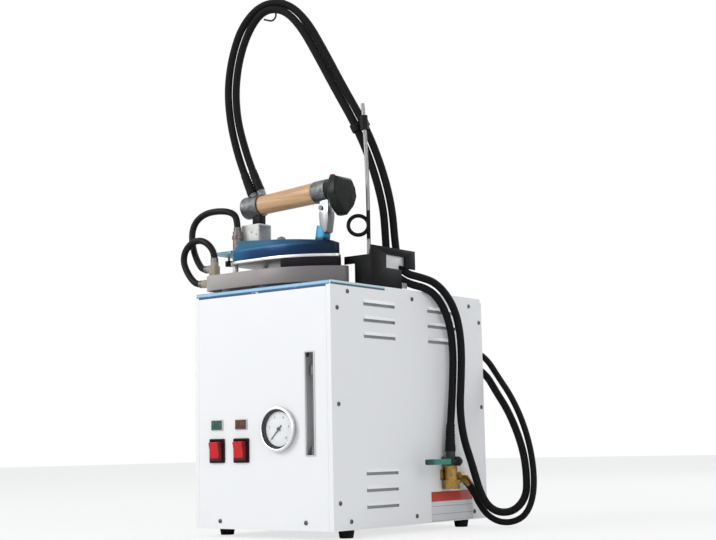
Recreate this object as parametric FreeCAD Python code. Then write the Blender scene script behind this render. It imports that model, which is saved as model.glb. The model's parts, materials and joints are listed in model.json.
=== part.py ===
"""A steam iron station: a floor-standing cabinet with a boiler inside, and a wooden-handled iron on top.

Millimetres. +Z is up, the switches and the gauge face -Y, and the iron points to +X. Every place is
first written from the middle of the cabinet's footprint, at floor level, and `save` then moves it
so that the whole machine stands centred on the origin.
"""

import FreeCAD, Part
import math
import os

V = FreeCAD.Vector
X_AXIS, Y_AXIS, Z_AXIS = V(1, 0, 0), V(0, 1, 0), V(0, 0, 1)

# The machine's place over the origin
cabinet_x = -11.0
cabinet_y = -10.0

# Fits and small gaps shared by all pieces
cut_over = 1.0
seat_gap = 0.3
bore_gap = 0.05
slide_gap = 0.1
hex_flat_turn = 30.0

# Cabinet
cabinet_width = 270.0
cabinet_depth = 395.0
cabinet_height = 350.0
sheet = 1.5
side_return = 8.0
inner_flange = 20.0
lid_height = 6.0
lid_corner = 5.0
half_width = cabinet_width / 2
half_depth = cabinet_depth / 2

# Feet
foot_height = 12.0
foot_radius = 12.0
foot_inset_x = 18.0
foot_inset_y = 50.0
foot_taper = 2.0
foot_recess_radius = 4.0
foot_recess_depth = 3.0

bottom_z = foot_height
top_z = bottom_z + cabinet_height
lid_z = top_z + lid_height

# Louvres
louvre_length = 78.0
louvre_slot = 4.5
louvre_pitch = 24.0
louvre_count = 3
louvre_hood_height = 5.0
louvre_hood_depth = 2.5
louvre_inset_y = 116.0
louvre_top_drop = 26.0
louvre_low_rise = 28.0

# Panel screws
screw_head_radius = 3.4
screw_head_height = 1.8
screw_shank_radius = 2.0
screw_dome = 1.1
screw_gap = 0.1
screw_row_y_shares = (-0.8, 0.01, 0.81)
screw_low_rise = 12.0
screw_top_drop = 8.0
screw_front_inset = 15.0
screw_rear_inset = 8.5
screw_column_z_shares = (0.11, 0.51, 0.905)
end_screw_inset = 51.0
end_screw_rise = 11.5

# Gauge
gauge_x_share = 0.27
gauge_x = half_width * gauge_x_share
gauge_z = 157.4
gauge_radius = 33.0
gauge_case_radius = 29.0
gauge_case_depth = 26.0
gauge_bezel_depth = 9.0
gauge_bezel_wall = 2.6
gauge_flange = 0.6
gauge_lip = 0.8
gauge_lip_inner = 28.8
gauge_dial_thickness = 1.0
gauge_lens_thickness = 1.6
needle_length = 21.0
needle_tail = 7.0
needle_width = 1.8
needle_thickness = 0.8
needle_hub_radius = 2.6
needle_hub_height = 2.2
needle_pin_length = 4.0
needle_pin_radius = 0.8
needle_lift = 0.6
needle_rest_angle = 225.0
gauge_pipe_radius = 4.0
pipe_bore = 2.5

# Rocker switches
left_switch_share = -0.655
right_switch_share = -0.289
switch_x_left = half_width * left_switch_share
switch_x_right = half_width * right_switch_share
switch_z = 127.5
switch_width = 30.0
switch_height = 36.0
switch_rim = 2.8
switch_rim_depth = 2.6
switch_body_width = 26.0
switch_body_height = 32.0
switch_body_depth = 24.0
switch_pocket_depth = 11.0
rocker_tilt = 9.0
rocker_gap = 0.35
rocker_pin_radius = 1.5
rocker_pin_length = 1.2
rocker_pin_depth = 2.0
# Section of a rocker: height, and distance in front of the frame
rocker_outline = [
    (-14.0, 7.0), (0.0, 5.0), (14.0, 7.0), (14.4, -1.0), (7.0, -6.4), (-7.0, -6.4), (-14.4, -1.0),
]

# Pilot lamps
lamp_z = 166.0
lamp_width = 24.0
lamp_height = 13.0
lamp_rim_depth = 1.6
lamp_lens_depth = 3.4
lamp_lens_margin = 2.2
lamp_body_depth = 20.0
lamp_body_margin = 2.0

# Water level window
window_x_share = 0.702
window_x = half_width * window_x_share
window_low_z = 117.0
window_high_z = 267.7
window_width = 19.0
window_trim = 1.8
window_trim_depth = 1.5
glass_radius = 6.0
glass_wall = 1.2
glass_inset_y = 11.5
glass_y = -half_depth + glass_inset_y
glass_low_z = 124.0
glass_below_shoulder = 8.0
glass_fitting_radius = 7.5
glass_fitting_height = 14.0
glass_pipe_radius = 4.0

# Boiler
boiler_x = 20.0
boiler_y = 40.0
boiler_side_gap = 15.0
boiler_radius = half_width - boiler_x - boiler_side_gap
boiler_wall = 3.0
boiler_low_z = 44.0
boiler_head_room = 114.0
boiler_shoulder_z = top_z - boiler_head_room
glass_high_z = boiler_shoulder_z - glass_below_shoulder
boiler_dome = 26.0
stand_inset = 18.0
stand_radius = boiler_radius - stand_inset
stand_wall = 3.0
stand_slot_width = 40.0
stand_slot_height = 18.0
heater_port_radius = 30.0
heater_flange_radius = 44.0
heater_flange_thickness = 8.0
heater_rod_radius = 4.0
heater_rod_height = 90.0
heater_rod_spread = 18.0
heater_terminal_radius = 3.0
heater_terminal_length = 12.0

# Fittings on the boiler
pressure_switch_shares = (-0.2, -0.3)
pressure_switch_x = boiler_x + boiler_radius * pressure_switch_shares[0]
pressure_switch_y = boiler_y + boiler_radius * pressure_switch_shares[1]
pressure_switch_size = 34.0
pressure_switch_height = 30.0
stub_radius = 5.0
stub_height = 12.0
safety_shares = (0.6, -0.2)
safety_x = boiler_x + boiler_radius * safety_shares[0]
safety_y = boiler_y + boiler_radius * safety_shares[1]
safety_radius = 9.0
safety_height = 30.0
safety_cap_radius = 6.0
safety_cap_height = 9.0
solenoid_shares = (0.3, -0.74)
solenoid_x = boiler_x + boiler_radius * solenoid_shares[0]
solenoid_y = boiler_y + boiler_radius * solenoid_shares[1]
solenoid_body = 26.0
solenoid_body_height = 14.0
solenoid_coil_radius = 15.0
solenoid_coil_height = 24.0
steam_pipe_radius = 4.0
steam_pipe_end_inset = 17.5
steam_pipe_end_y = half_depth - steam_pipe_end_inset
filler_shares = (-0.54, 0.38)
filler_x = boiler_x + boiler_radius * filler_shares[0]
filler_y = boiler_y + boiler_radius * filler_shares[1]
filler_radius = 14.0
filler_wall = 2.5
filler_rise = 12.0
filler_flange_radius = 20.0
filler_flange_thickness = 2.5
filler_cap_radius = 21.0
filler_cap_height = 16.0
filler_cap_ribs = 12
filler_cap_rib_radius = 1.6

# Ball valve on the right side
valve_out = 13.0
valve_x = half_width + valve_out
valve_behind_boiler = 37.0
valve_y = boiler_y + valve_behind_boiler
valve_low_z = 62.0
valve_height = 50.0
valve_high_z = valve_low_z + valve_height
valve_radius = 10.0
valve_hex = 24.0
valve_hex_height = 14.0
valve_nipple_rise = 22.0
valve_nipple_z = valve_low_z + valve_nipple_rise
valve_nipple_radius = 6.5
valve_nut_hex = 22.0
valve_nut_height = 5.0
valve_reach_in = 16.0
valve_inner_x = boiler_x + boiler_radius - valve_reach_in
valve_branch_radius = 7.0
valve_branch_length = 14.0
valve_branch_out = 47.0
valve_branch_rise = 8.0
valve_branch_hex = 18.0
valve_branch_hex_length = 9.0
valve_sleeve_radius = 7.6
valve_sleeve_length = 8.0
lever_drop = 7.5
lever_z = valve_high_z - lever_drop
lever_length = 85.0
lever_width = 6.0
lever_thickness = 3.0
lever_hub_radius = 7.0
stem_radius = 4.0
stem_seat_depth = 3.0
lever_grip_thickness = 5.4
lever_gap = 1.6
lever_grip_start = 20.0
lever_nut_radius = 4.2
lever_nut_height = 3.0

# Plain plate under the valve
plate_middle_past_valve = 20.5
plate_length = 113.0
plate_low_y = valve_y + plate_middle_past_valve - plate_length / 2
plate_high_y = plate_low_y + plate_length
plate_rise = 1.5
plate_height = 45.0
plate_low_z = bottom_z + plate_rise
plate_high_z = plate_low_z + plate_height
plate_thickness = 0.8

# Rear outlets: elbows that point to the right
outlet_x = solenoid_x
outlet_over_shoulder = 37.0
outlet_z = boiler_shoulder_z + outlet_over_shoulder
gland_x = outlet_x
gland_drop = 27.0
gland_z = outlet_z - gland_drop
elbow_out = 21.5
elbow_y = half_depth + elbow_out
elbow_reach = 36.0
elbow_end_x = outlet_x + elbow_reach
outlet_radius = 6.5
outlet_flange_radius = 12.0
outlet_flange_thickness = 4.0
outlet_nut_hex = 20.0
outlet_nut_height = 6.0
mains_gland_inset = 75.0
mains_gland_x = mains_gland_inset - half_width
mains_gland_rise = 48.0
mains_gland_z = bottom_z + mains_gland_rise
mains_gland_radius = 11.0
mains_gland_length = 20.0
mains_bore_radius = 4.25

# Middle of the iron and its rest, across the front half of the lid
iron_inset_y = 87.5
iron_y = -half_depth + iron_inset_y

# Hose bracket and mast
frame_inset_x = 6.0
frame_x = half_width - frame_inset_x
frame_past_iron = 16.6
frame_low_y = iron_y + frame_past_iron
frame_length = 112.0
frame_high_y = frame_low_y + frame_length
frame_rise = 62.3
frame_high_z = lid_z + frame_rise
frame_sheet = 2.5
window_frame_start = 37.0
window_frame_low_y = frame_low_y + window_frame_start
window_frame_length = 49.0
window_frame_high_y = window_frame_low_y + window_frame_length
window_frame_rise = 30.3
window_frame_low_z = lid_z + window_frame_rise
window_frame_height = 21.0
window_frame_high_z = window_frame_low_z + window_frame_height
frame_cut_start = 76.0
frame_cut_y = frame_low_y + frame_cut_start
frame_post_rise = 33.3
frame_post_low_z = lid_z + frame_post_rise
frame_foot_depth = 34.0
hook_reach = 50.0
hook_reach_x = frame_x - hook_reach
hook_step = 30.0
hook_step_x = frame_x - hook_step
hook_rise = 48.3
hook_high_z = lid_z + hook_rise
hook_step_rise = 36.3
hook_step_z = lid_z + hook_step_rise
clamp_sheet = 1.5
clamp_start = 32.0
clamp_low_y = frame_low_y + clamp_start
clamp_past_window = 3.0
clamp_high_y = window_frame_high_y + clamp_past_window
clamp_step_back = 4.6
clamp_step_y = frame_cut_y - clamp_step_back
clamp_tongue_past_cut = 16.4
clamp_tongue_y = frame_cut_y + clamp_tongue_past_cut
clamp_tongue_rise = 11.0
clamp_tongue_z = lid_z + clamp_tongue_rise
clamp_step_over_window = 6.7
clamp_step_z = window_frame_low_z + clamp_step_over_window
clamp_over_window = 5.0
clamp_high_z = window_frame_high_z + clamp_over_window
mast_inset_x = 18.5
mast_x = frame_x - mast_inset_x
mast_past_iron = 38.0
mast_y = iron_y + mast_past_iron
mast_radius = 3.0
mast_over_clip = 30.0
mast_loop_radius = 15.3
mast_loop_rise = 95.5
mast_loop_z = lid_z + mast_loop_rise
mast_loop_pitch = 7.5
mast_straight = 25.0
mast_bend_radius = 2600.0
socket_size = 16.0
socket_height = 33.0
view_turn = 38.0
clip_z = 622.0
mast_top_z = clip_z + mast_over_clip
clip_height = 22.0
clip_radius = 6.0
clip_link_radius = 3.0
clip_wall = 2.2
clip_gap = 0.4
clip_band = 12.0
clip_hose_point = (89.0, -69.0, 621.0)
clip_cable_point = (99.0, -63.0, 627.0)
clip_lug_radius = 3.6
clip_lug_length = 9.0
wire_radius = 1.5

# Iron rest on the lid
rest_length = 241.0
rest_width = 130.0
rest_mast_gap = 12.5
rest_nose_x = mast_x - rest_mast_gap
rest_heel_x = rest_nose_x - rest_length
rest_lift = 8.0
rest_height = 24.0
rest_low_z = lid_z + rest_lift
rest_high_z = rest_low_z + rest_height
rest_corner = 20.0
rest_wall = 4.0
rest_top = 5.0
rest_boss_radius = 9.0
rest_boss_x_share = 0.32
rest_boss_y_share = 0.30
pad_height = 15.0
pad_length = 78.0
rest_post_radius = 4.5
rest_post_inset = 14.0
rest_post_y = 35.0

# Iron
sole_length = 196.0
sole_width = 100.0
iron_nose_inset = 14.0
sole_nose_x = rest_nose_x - iron_nose_inset
sole_heel_x = sole_nose_x - sole_length
pad_heel_x = sole_nose_x - pad_length
rest_post_x = sole_heel_x + rest_post_inset
iron_z = rest_high_z + pad_height
sole_thickness = 4.5
sole_corner = 32.0
cover_inset = 2.5
cover_wall_height = 17.0
cover_crown = 17.0
cover_crown_inset = 13.0
cover_slope = 4.2
tail_length = 44.0
tail_width = 60.0
tail_thickness = 4.5
heel_foot_radius = 6.0
heel_foot_height = 8.5
heel_stem_radius = 2.0
heel_stem_length = 6.5
heel_foot_overlap = 0.5
tail_rise = 17.0
bracket_inset = 9.0
bracket_x = sole_heel_x + bracket_inset
bracket_length = 36.0
bracket_width = 30.0
bracket_rise = 67.0
bracket_top_z = iron_z + bracket_rise
bracket_wall = 2.5
block_inset = 24.0
block_x = sole_heel_x + block_inset
block_length = 18.0
block_width = 14.0
block_height = 25.0
handle_tilt = 2.7
handle_inset = 6.0
handle_rear_x = sole_heel_x + handle_inset
handle_rise = 96.0
handle_rear_z = iron_z + handle_rise
cap_length = 34.0
cap_radius = 18.0
cap_wall = 4.0
handle_length = 113.0
handle_radius_rear = 15.0
handle_radius_front = 16.5
handle_core_radius = 5.0
ferrule_length = 26.0
ferrule_radius = 17.5
collar_length = 12.0
collar_radius = 17.0
shield_length = 20.0
shield_edge = 4.0
front_strap_width = 16.0
pedestal_width = 16.0
button_radius = 4.6
button_height = 6.0
button_travel = 3.0
button_guide = 9.0
inlet_inset = 9.0
inlet_x = sole_heel_x + inlet_inset
inlet_aside = 24.3
inlet_y = iron_y - inlet_aside
inlet_radius = 7.6
inlet_low_rise = 21.0
inlet_low_z = iron_z + inlet_low_rise
inlet_rise = 56.0
inlet_top_z = iron_z + inlet_rise
inlet_collar_radius = 9.0
inlet_collar_rise = 44.0
inlet_collar_z = iron_z + inlet_collar_rise
inlet_collar_height = 5.0
bracket_hole_radius = 1.2
bracket_hole_reaches = (21.0, 31.5)
bracket_hole_drops = (14.0, 17.5)
strap_screw_reach = 5.0
strap_screw_rise = 77.0
strap_screw_z = iron_z + strap_screw_rise
strap_screw_radius = 3.6
strap_screw_height = 3.0
cover_nut_before_screw = 46.0
cover_screw_aside = 5.0
cover_nut_rise = 40.0
cover_nut_z = iron_z + cover_nut_rise
cover_screw_before_pedestal = 22.5
cover_screw_y = iron_y - cover_screw_aside
cover_screw_rise = 32.5
cover_screw_z = iron_z + cover_screw_rise
cover_nut_hex = 12.0
cover_screw_radius = 3.0
sleeve_radius = 7.2
sleeve_length = 15.0
sleeve_alongs = (28.0, 18.0)
sleeve_asides = (3.0, -3.0)
sleeve_rises = (26.0, 21.0)

# Elbow fitting of the thin tube, on the rest
fitting_inset = 14.0
fitting_x = rest_heel_x + fitting_inset
fitting_aside = 50.0
fitting_y = iron_y - fitting_aside
fitting_size = 14.0
fitting_height = 16.0
fitting_collar_radius = 6.4
fitting_collar_height = 6.0
fitting_arm_length = 12.0
fitting_arm_rise = 12.0
nipple_length = 19.0
nipple_aside = 5.0
nipple_rise = 13.0

# Hoses: diameters, and routes as points chosen along the photographed lines
hose_diameter = 12.0
supply_diameter = 10.0
tube_diameter = 10.5

steam_hose_route = [
    (148, 77, 120), (148, 77, 146), (148, 83, 184), (147, 90, 226), (147, 94, 272), (148, 87, 316),
    (148, 66, 350), (144, 38, 372), (120.5, 7, 380.8), (108.5, -12, 398), (105.5, -21.5, 421),
    (107, -24.5, 452), (108.5, -31, 500), (103, -49, 561), (89, -69, 621), (57, -80, 684), (25, -88, 748),
    (0, -97, 797), (-30, -103, 828), (-66, -109, 832), (-96, -110, 806), (-115, -113, 762),
    (-123, -115, 710), (-119, -115, 658), (-106, -112, 609), (-91, -110, 569), (-78, -107, 537),
]
iron_cable_route = [
    (86, 219, 258), (107, 219, 258), (129, 218.5, 243), (148, 217, 214), (168, 214, 188), (187, 210, 154),
    (204, 203, 116), (212.5, 196, 80), (212, 194, 46), (199, 176, 23), (180.5, 150, 23), (168, 131.5, 46),
    (163, 114, 100), (160.5, 96, 140), (158.5, 91, 184), (158.5, 97, 230), (159, 100.5, 280),
    (159.5, 92.5, 325), (158.5, 72, 358), (152, 44, 382), (138, 20.5, 390), (124, 3, 395), (117.8, -8.5, 412),
    (117.5, -14, 440), (118.5, -22, 502), (113, -41, 565), (99, -63, 627), (67, -74, 690), (35, -81, 754),
    (8, -90, 806), (-27, -98, 840), (-72, -107, 844), (-106, -116, 813), (-125, -120, 766),
    (-133, -123, 711), (-129, -122, 656), (-116.5, -120, 605), (-102.5, -117, 564), (-89.5, -114, 532),
]
supply_hose_route = [
    (86, 219, 285), (107, 219, 285), (130, 219.5, 270), (152, 219, 238), (175, 217, 208), (196, 214, 170),
    (213, 208, 128), (224, 200, 84), (226, 192, 46), (215, 186, 18), (198, 176, 7), (180, 163, 7),
    (164, 153, 18), (152, 146, 38), (148, 138, 58), (148, 124, 70),
]
iron_tube_route = [
    (-141, -160, 412), (-153, -160, 412), (-168, -155, 423), (-182, -150.5, 441), (-190.5, -148, 463),
    (-191, -146.5, 482), (-183, -145, 497), (-164, -143.5, 506.5), (-138, -141, 508), (-113, -137, 503.5),
    (-103, -134.3, 492), (-103, -134.3, 471),
]
rest_tube_route = [
    (-129, -160, 422), (-129, -160, 435), (-136, -161.5, 448), (-148, -163, 457.5), (-163, -164, 460.5),
    (-178, -164.5, 456), (-189.5, -165, 445), (-193, -165, 430), (-187, -165, 415), (-176, -165, 400),
    (-162, -165, 389), (-148, -165, 389),
]

# Spring wire behind the hoses, with the eye that goes round them at its end
wire_route = [
    (85, -58.5, 627), (56, -67, 687), (24, -75, 751), (-2, -83, 801), (-26, -87.5, 836), (-44, -89, 852),
    (-55, -90, 845), (-55, -91, 822), (-56, -99, 814), (-60, -114, 814),
]

# Shares that shape the outlines
sole_shoulder_share = 0.42
sole_bend_x_share = 0.755
sole_bend_y_share = 0.76
sole_nose_x_share = 0.03
sole_nose_y_share = 0.16
arc_share = 0.45

# Outline of the light pedestal at the front of the cover, from the side
strap_before_handle_end = 16.0
pedestal_before_strap = 10.5
handle_end_x = handle_rear_x + cap_length + handle_length + ferrule_length
strap_x = handle_end_x - strap_before_handle_end
pedestal_x = strap_x - pedestal_before_strap
strap_screw_x = strap_x + strap_screw_reach
cover_screw_x = pedestal_x - cover_screw_before_pedestal
cover_nut_x = cover_screw_x - cover_nut_before_screw
pedestal_rise = 19.0
pedestal_z = iron_z + pedestal_rise
pedestal_length = 20.0
pedestal_height = 32.0
pedestal_shares = [(0.0, 0.0), (0.81, 0.0), (1.0, 0.55), (0.69, 0.93), (0.31, 1.0)]

# Outline of the front strap above the pedestal, from the side
strap_rise = 37.0
strap_z = iron_z + strap_rise
strap_length = 18.0
strap_height = 56.0
strap_shares = [(0.4, 0.0), (0.77, 0.05), (1.0, 0.46), (0.93, 1.0), (0.13, 1.0), (0.0, 0.5), (0.07, 0.2)]

# Outline of the hand guard, from the front
shield_width = 56.0
shield_height = 58.0
shield_drop = 43.0
shield_front_share = 0.86
shield_shares = [
    (-0.36, 1.0), (0.32, 1.0), (0.46, 0.78), (0.5, 0.52), (0.36, 0.26), (0.06, 0.0),
    (-0.09, 0.0), (-0.36, 0.24), (-0.47, 0.52), (-0.43, 0.81),
]


# Small tools for solids
def block(low, high):
    size = [b - a for a, b in zip(low, high)]
    return Part.makeBox(*size, V(*low))


def rod(start, axis, radius, length):
    return Part.makeCylinder(radius, length, V(*start), axis)


def sleeve(start, axis, outer, inner, length):
    bore_start = V(*start) - V(axis) * cut_over
    return rod(start, axis, outer, length).cut(rod(bore_start, axis, inner, length + 2 * cut_over))


def hexagon(start, axis, across, height, turn=0):
    corner = across / math.sqrt(3)
    points = []
    for step in range(7):
        angle = math.radians(360 * step / 6 + turn)
        points.append(V(corner * math.cos(angle), corner * math.sin(angle), 0))
    nut = Part.Face(Part.makePolygon(points)).extrude(V(0, 0, height))
    nut.Placement = FreeCAD.Placement(V(*start), FreeCAD.Rotation(Z_AXIS, axis))
    return nut


def prism(points, run):
    corners = [V(*p) for p in points]
    return Part.Face(Part.makePolygon(corners + corners[:1])).extrude(run)


def rounded(shape, radius, axis):
    """Rounds the edges of a block that run along an axis."""
    edges = [e for e in shape.Edges if abs(e.tangentAt(e.FirstParameter).dot(axis)) > 1 - 1e-6]
    return shape.makeFillet(radius, edges)


def rounded_block(low, high, radius, axis):
    return rounded(block(low, high), radius, axis)


def joined(first, *others):
    return first.fuse(list(others)).removeSplitter()


def arc(start, middle, end):
    return Part.Arc(start, middle, end).toShape()


def save(node, *solids):
    shape = solids[0] if len(solids) == 1 else Part.makeCompound(list(solids))
    placed = shape.copy()
    placed.translate(V(cabinet_x, cabinet_y, 0))
    placed.exportStep(f"parts/{node}.step")
    return shape


# Routes with an arc at each inner point
def rounded_route(points):
    """Straight runs joined by tangent arcs; also gives the arcs' radii and the whole length."""
    corners = [V(*p) for p in points]
    edges, radii = [], []
    here = corners[0]
    for before, corner, after in zip(corners, corners[1:], corners[2:]):
        run_in, run_out = corner - before, after - corner
        setback = arc_share * min(run_in.Length, run_out.Length)
        turn = run_in.getAngle(run_out)
        run_in.normalize()
        run_out.normalize()
        start = corner - run_in * setback
        end = corner + run_out * setback
        bisector = run_out - run_in
        bisector.normalize()
        radius = setback / math.tan(turn / 2)
        middle = corner + bisector * (radius / math.cos(turn / 2) - radius)
        edges.append(Part.LineSegment(here, start).toShape())
        edges.append(arc(start, middle, end))
        radii.append(radius)
        here = end
    edges.append(Part.LineSegment(here, corners[-1]).toShape())
    return edges, radii, sum(edge.Length for edge in edges)


def swept(edges, diameter):
    start = edges[0].valueAt(edges[0].FirstParameter)
    heading = edges[0].tangentAt(edges[0].FirstParameter)
    profile = Part.Wire(Part.Circle(start, heading, diameter / 2).toShape())
    return Part.Wire(edges).makePipeShell([profile], True, False)


def cord(node, points, diameter):
    edges, radii, length = rounded_route(points)
    tube = swept(edges, diameter)
    section = math.pi * diameter ** 2 / 4
    print(f"{node}: {length:.0f} mm long, radii {min(radii):.0f} to {max(radii):.0f} mm,",
          f"volume over section times length {tube.Volume / (section * length):.4f}")
    return save(node, tube)


def heading_out(points):
    """Unit direction in which a route leaves its last point, away from the route."""
    out = V(*points[-1]) - V(*points[-2])
    return out.normalize()


# Cabinet shell
def louvre(face_x, outward, middle_y, z):
    """One louvre in a side wall: a slot to cut, and the hood above it to add."""
    half = louvre_length / 2
    inner = face_x - outward * (sheet + cut_over)
    outer = face_x + outward * (louvre_hood_depth + cut_over)
    low_x, high_x = sorted((inner, outer))
    slot = block((low_x, middle_y - half, z), (high_x, middle_y + half, z + louvre_slot))
    hood = prism([
        (face_x, middle_y - half, z + louvre_slot),
        (face_x, middle_y - half, z + louvre_slot + louvre_hood_height),
        (face_x + outward * louvre_hood_depth, middle_y - half, z + louvre_slot),
    ], V(0, louvre_length, 0))
    return slot, hood


def louvre_places(right_side):
    """Middle and height of each louvre on one side wall."""
    front_y, rear_y = -half_depth + louvre_inset_y, half_depth - louvre_inset_y
    places = []
    for step in range(louvre_count):
        high = top_z - louvre_top_drop - step * louvre_pitch
        low = bottom_z + louvre_low_rise + step * louvre_pitch
        places += [(front_y, high), (rear_y, high), (front_y, low)]
        if not right_side:
            places.append((rear_y, low))
    return places


def side_screw_places():
    """Depth and height of each screw in a side wall."""
    row_zs = (bottom_z + screw_low_rise, top_z - screw_top_drop)
    column_ys = (-half_depth + screw_front_inset, half_depth - screw_rear_inset)
    rows = [(half_depth * share, z) for share in screw_row_y_shares for z in row_zs]
    column_zs = [bottom_z + cabinet_height * share for share in screw_column_z_shares]
    return rows + [(y, z) for y in column_ys for z in column_zs]


def end_screw_places():
    """Place across and height of each screw low on the front and rear walls."""
    return [(side * (half_width - end_screw_inset), bottom_z + end_screw_rise) for side in (-1, 1)]


def pan_screw(place, outward):
    """Screw from outside: a domed head on the wall and a shank through it."""
    head = rod(place, outward, screw_head_radius, screw_head_height)
    top = [e for e in head.Edges if (e.CenterOfMass - V(*place)).dot(outward) > screw_head_height - slide_gap]
    head = head.makeFillet(screw_dome, top)
    shank_start = V(*place) - outward * sheet
    return head.fuse(rod(shank_start, outward, screw_shank_radius, sheet + screw_dome / 2))


def screw_hole(place, outward):
    start = V(*place) - outward * (sheet + cut_over)
    return rod(start, outward, screw_shank_radius + screw_gap, sheet + 2 * cut_over)


def side_panel(outward):
    """Side wall with a narrow return at its front and rear edges, louvres and screw holes."""
    face_x = outward * half_width
    inner_x = face_x - outward * sheet
    return_x = face_x - outward * side_return
    low_x, high_x = sorted((face_x, inner_x))
    wall = block((low_x, -half_depth, bottom_z), (high_x, half_depth, top_z))
    low_x, high_x = sorted((inner_x, return_x))
    front = block((low_x, -half_depth, bottom_z), (high_x, sheet - half_depth, top_z))
    rear = block((low_x, half_depth - sheet, bottom_z), (high_x, half_depth, top_z))
    panel = joined(wall, front, rear)
    hoods, slots = [], []
    for y, z in louvre_places(outward > 0):
        slot, hood = louvre(face_x, outward, y, z)
        slots.append(slot)
        hoods.append(hood)
    panel = joined(panel, *hoods).cut(slots)
    holes = [screw_hole((face_x, y, z), X_AXIS * outward) for y, z in side_screw_places()]
    if outward > 0:
        hole_start = (inner_x - cut_over, valve_y, valve_nipple_z)
        holes.append(rod(hole_start, X_AXIS, valve_nipple_radius + seat_gap, sheet + 2 * cut_over))
    return panel.cut(holes)


def end_panel(outward):
    """Front or rear wall between the side walls' returns, with inner flanges down both edges."""
    face_y = outward * half_depth
    inner_y = face_y - outward * sheet
    reach = half_width - side_return - seat_gap
    low_y, high_y = sorted((face_y, inner_y))
    wall = block((-reach, low_y, bottom_z), (reach, high_y, top_z))
    flange_low = bottom_z + sheet + inner_flange + seat_gap
    flange_high = top_z - inner_flange - seat_gap
    low_y, high_y = sorted((inner_y, inner_y - outward * inner_flange))
    flanges = [block((side * reach - (sheet if side > 0 else 0), low_y, flange_low),
                     (side * reach + (0 if side > 0 else sheet), high_y, flange_high)) for side in (-1, 1)]
    panel = joined(wall, *flanges)
    holes = [screw_hole((x, face_y, z), Y_AXIS * outward) for x, z in end_screw_places()]
    return panel.cut(holes)


def front_panel():
    panel = end_panel(-1)
    inner_y = sheet - half_depth
    start_y = -half_depth - cut_over
    depth = sheet + 2 * cut_over
    holes = [rod((gauge_x, start_y, gauge_z), Y_AXIS, gauge_case_radius + seat_gap, depth)]
    openings = [(x, switch_z, switch_body_width, switch_body_height) for x in (switch_x_left, switch_x_right)]
    lamp_size = (lamp_width - 2 * lamp_body_margin, lamp_height - 2 * lamp_body_margin)
    openings += [(x, lamp_z, *lamp_size) for x in (switch_x_left, switch_x_right)]
    openings.append((window_x, (window_low_z + window_high_z) / 2, window_width - 2 * window_trim,
                     window_high_z - window_low_z - 2 * window_trim))
    for x, z, width, height in openings:
        half_w, half_h = width / 2 + seat_gap, height / 2 + seat_gap
        holes.append(block((x - half_w, start_y, z - half_h), (x + half_w, inner_y + cut_over, z + half_h)))
    return panel.cut(holes)


def rear_panel():
    panel = end_panel(1)
    start_y = half_depth - sheet - cut_over
    depth = sheet + 2 * cut_over
    holes = [rod((x, start_y, z), Y_AXIS, radius + seat_gap, depth) for x, z, radius in (
        (outlet_x, outlet_z, outlet_radius), (gland_x, gland_z, outlet_radius),
        (mains_gland_x, mains_gland_z, mains_bore_radius + 2 * sheet))]
    return panel.cut(holes)


def base_pan():
    """Floor of the cabinet with an upright flange all round."""
    reach_x, reach_y = half_width - sheet - seat_gap, half_depth - sheet - seat_gap
    high = bottom_z + sheet + inner_flange
    pan = block((-reach_x, -reach_y, bottom_z), (reach_x, reach_y, high))
    inner_x, inner_y = reach_x - sheet, reach_y - sheet
    hollow = block((-inner_x, -inner_y, bottom_z + sheet), (inner_x, inner_y, high + cut_over))
    hole_radius = foot_recess_radius / 2 + screw_gap
    holes = [rod((x, y, bottom_z - cut_over), Z_AXIS, hole_radius, sheet + 2 * cut_over)
             for x, y in foot_places()]
    return pan.cut([hollow] + holes)


def top_cover():
    """Blue lid: a shallow plate on the walls, and a skirt that hangs inside them."""
    low, high = (-half_width, -half_depth, top_z), (half_width, half_depth, lid_z)
    cap = rounded_block(low, high, lid_corner, Z_AXIS)
    reach_x, reach_y = half_width - sheet - seat_gap, half_depth - sheet - seat_gap
    skirt = block((-reach_x, -reach_y, top_z - inner_flange), (reach_x, reach_y, top_z))
    lid = joined(cap, skirt)
    inner_x, inner_y = reach_x - sheet, reach_y - sheet
    hollow = block((-inner_x, -inner_y, top_z - inner_flange - cut_over), (inner_x, inner_y, lid_z - sheet))
    neck_hole = rod((filler_x, filler_y, top_z), Z_AXIS, filler_radius + seat_gap, lid_height + cut_over)
    return lid.cut([hollow, neck_hole])


def foot_places():
    reach_x, reach_y = half_width - foot_inset_x, half_depth - foot_inset_y
    return [(x, y) for x in (-reach_x, reach_x) for y in (-reach_y, reach_y)]


def rubber_foot(x, y):
    """Tapered rubber foot with a recess for its screw, whose pin goes up through the floor."""
    foot = Part.makeCone(foot_radius - foot_taper, foot_radius, foot_height, V(x, y, 0), Z_AXIS)
    recess = rod((x, y, 0), Z_AXIS, foot_recess_radius, foot_recess_depth)
    pin = rod((x, y, foot_height), Z_AXIS, foot_recess_radius / 2, sheet)
    return joined(foot.cut(recess), pin)


def panel_screws():
    screws = []
    for outward in (-1, 1):
        screws += [pan_screw((outward * half_width, y, z), X_AXIS * outward) for y, z in side_screw_places()]
        screws += [pan_screw((x, outward * half_depth, z), Y_AXIS * outward) for x, z in end_screw_places()]
    return screws


# Boiler and its fittings
def boiler_form(grown):
    """Outline of the tank, grown or shrunk all round: a cylinder with a domed top."""
    sphere_radius = (boiler_radius ** 2 + boiler_dome ** 2) / (2 * boiler_dome)
    sphere_z = boiler_shoulder_z + boiler_dome - sphere_radius
    body = rod((boiler_x, boiler_y, boiler_low_z - grown), Z_AXIS, boiler_radius + grown,
               boiler_shoulder_z - boiler_low_z + boiler_dome + 2 * abs(grown) + cut_over)
    return body.common(Part.makeSphere(sphere_radius + grown, V(boiler_x, boiler_y, sphere_z)))


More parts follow.
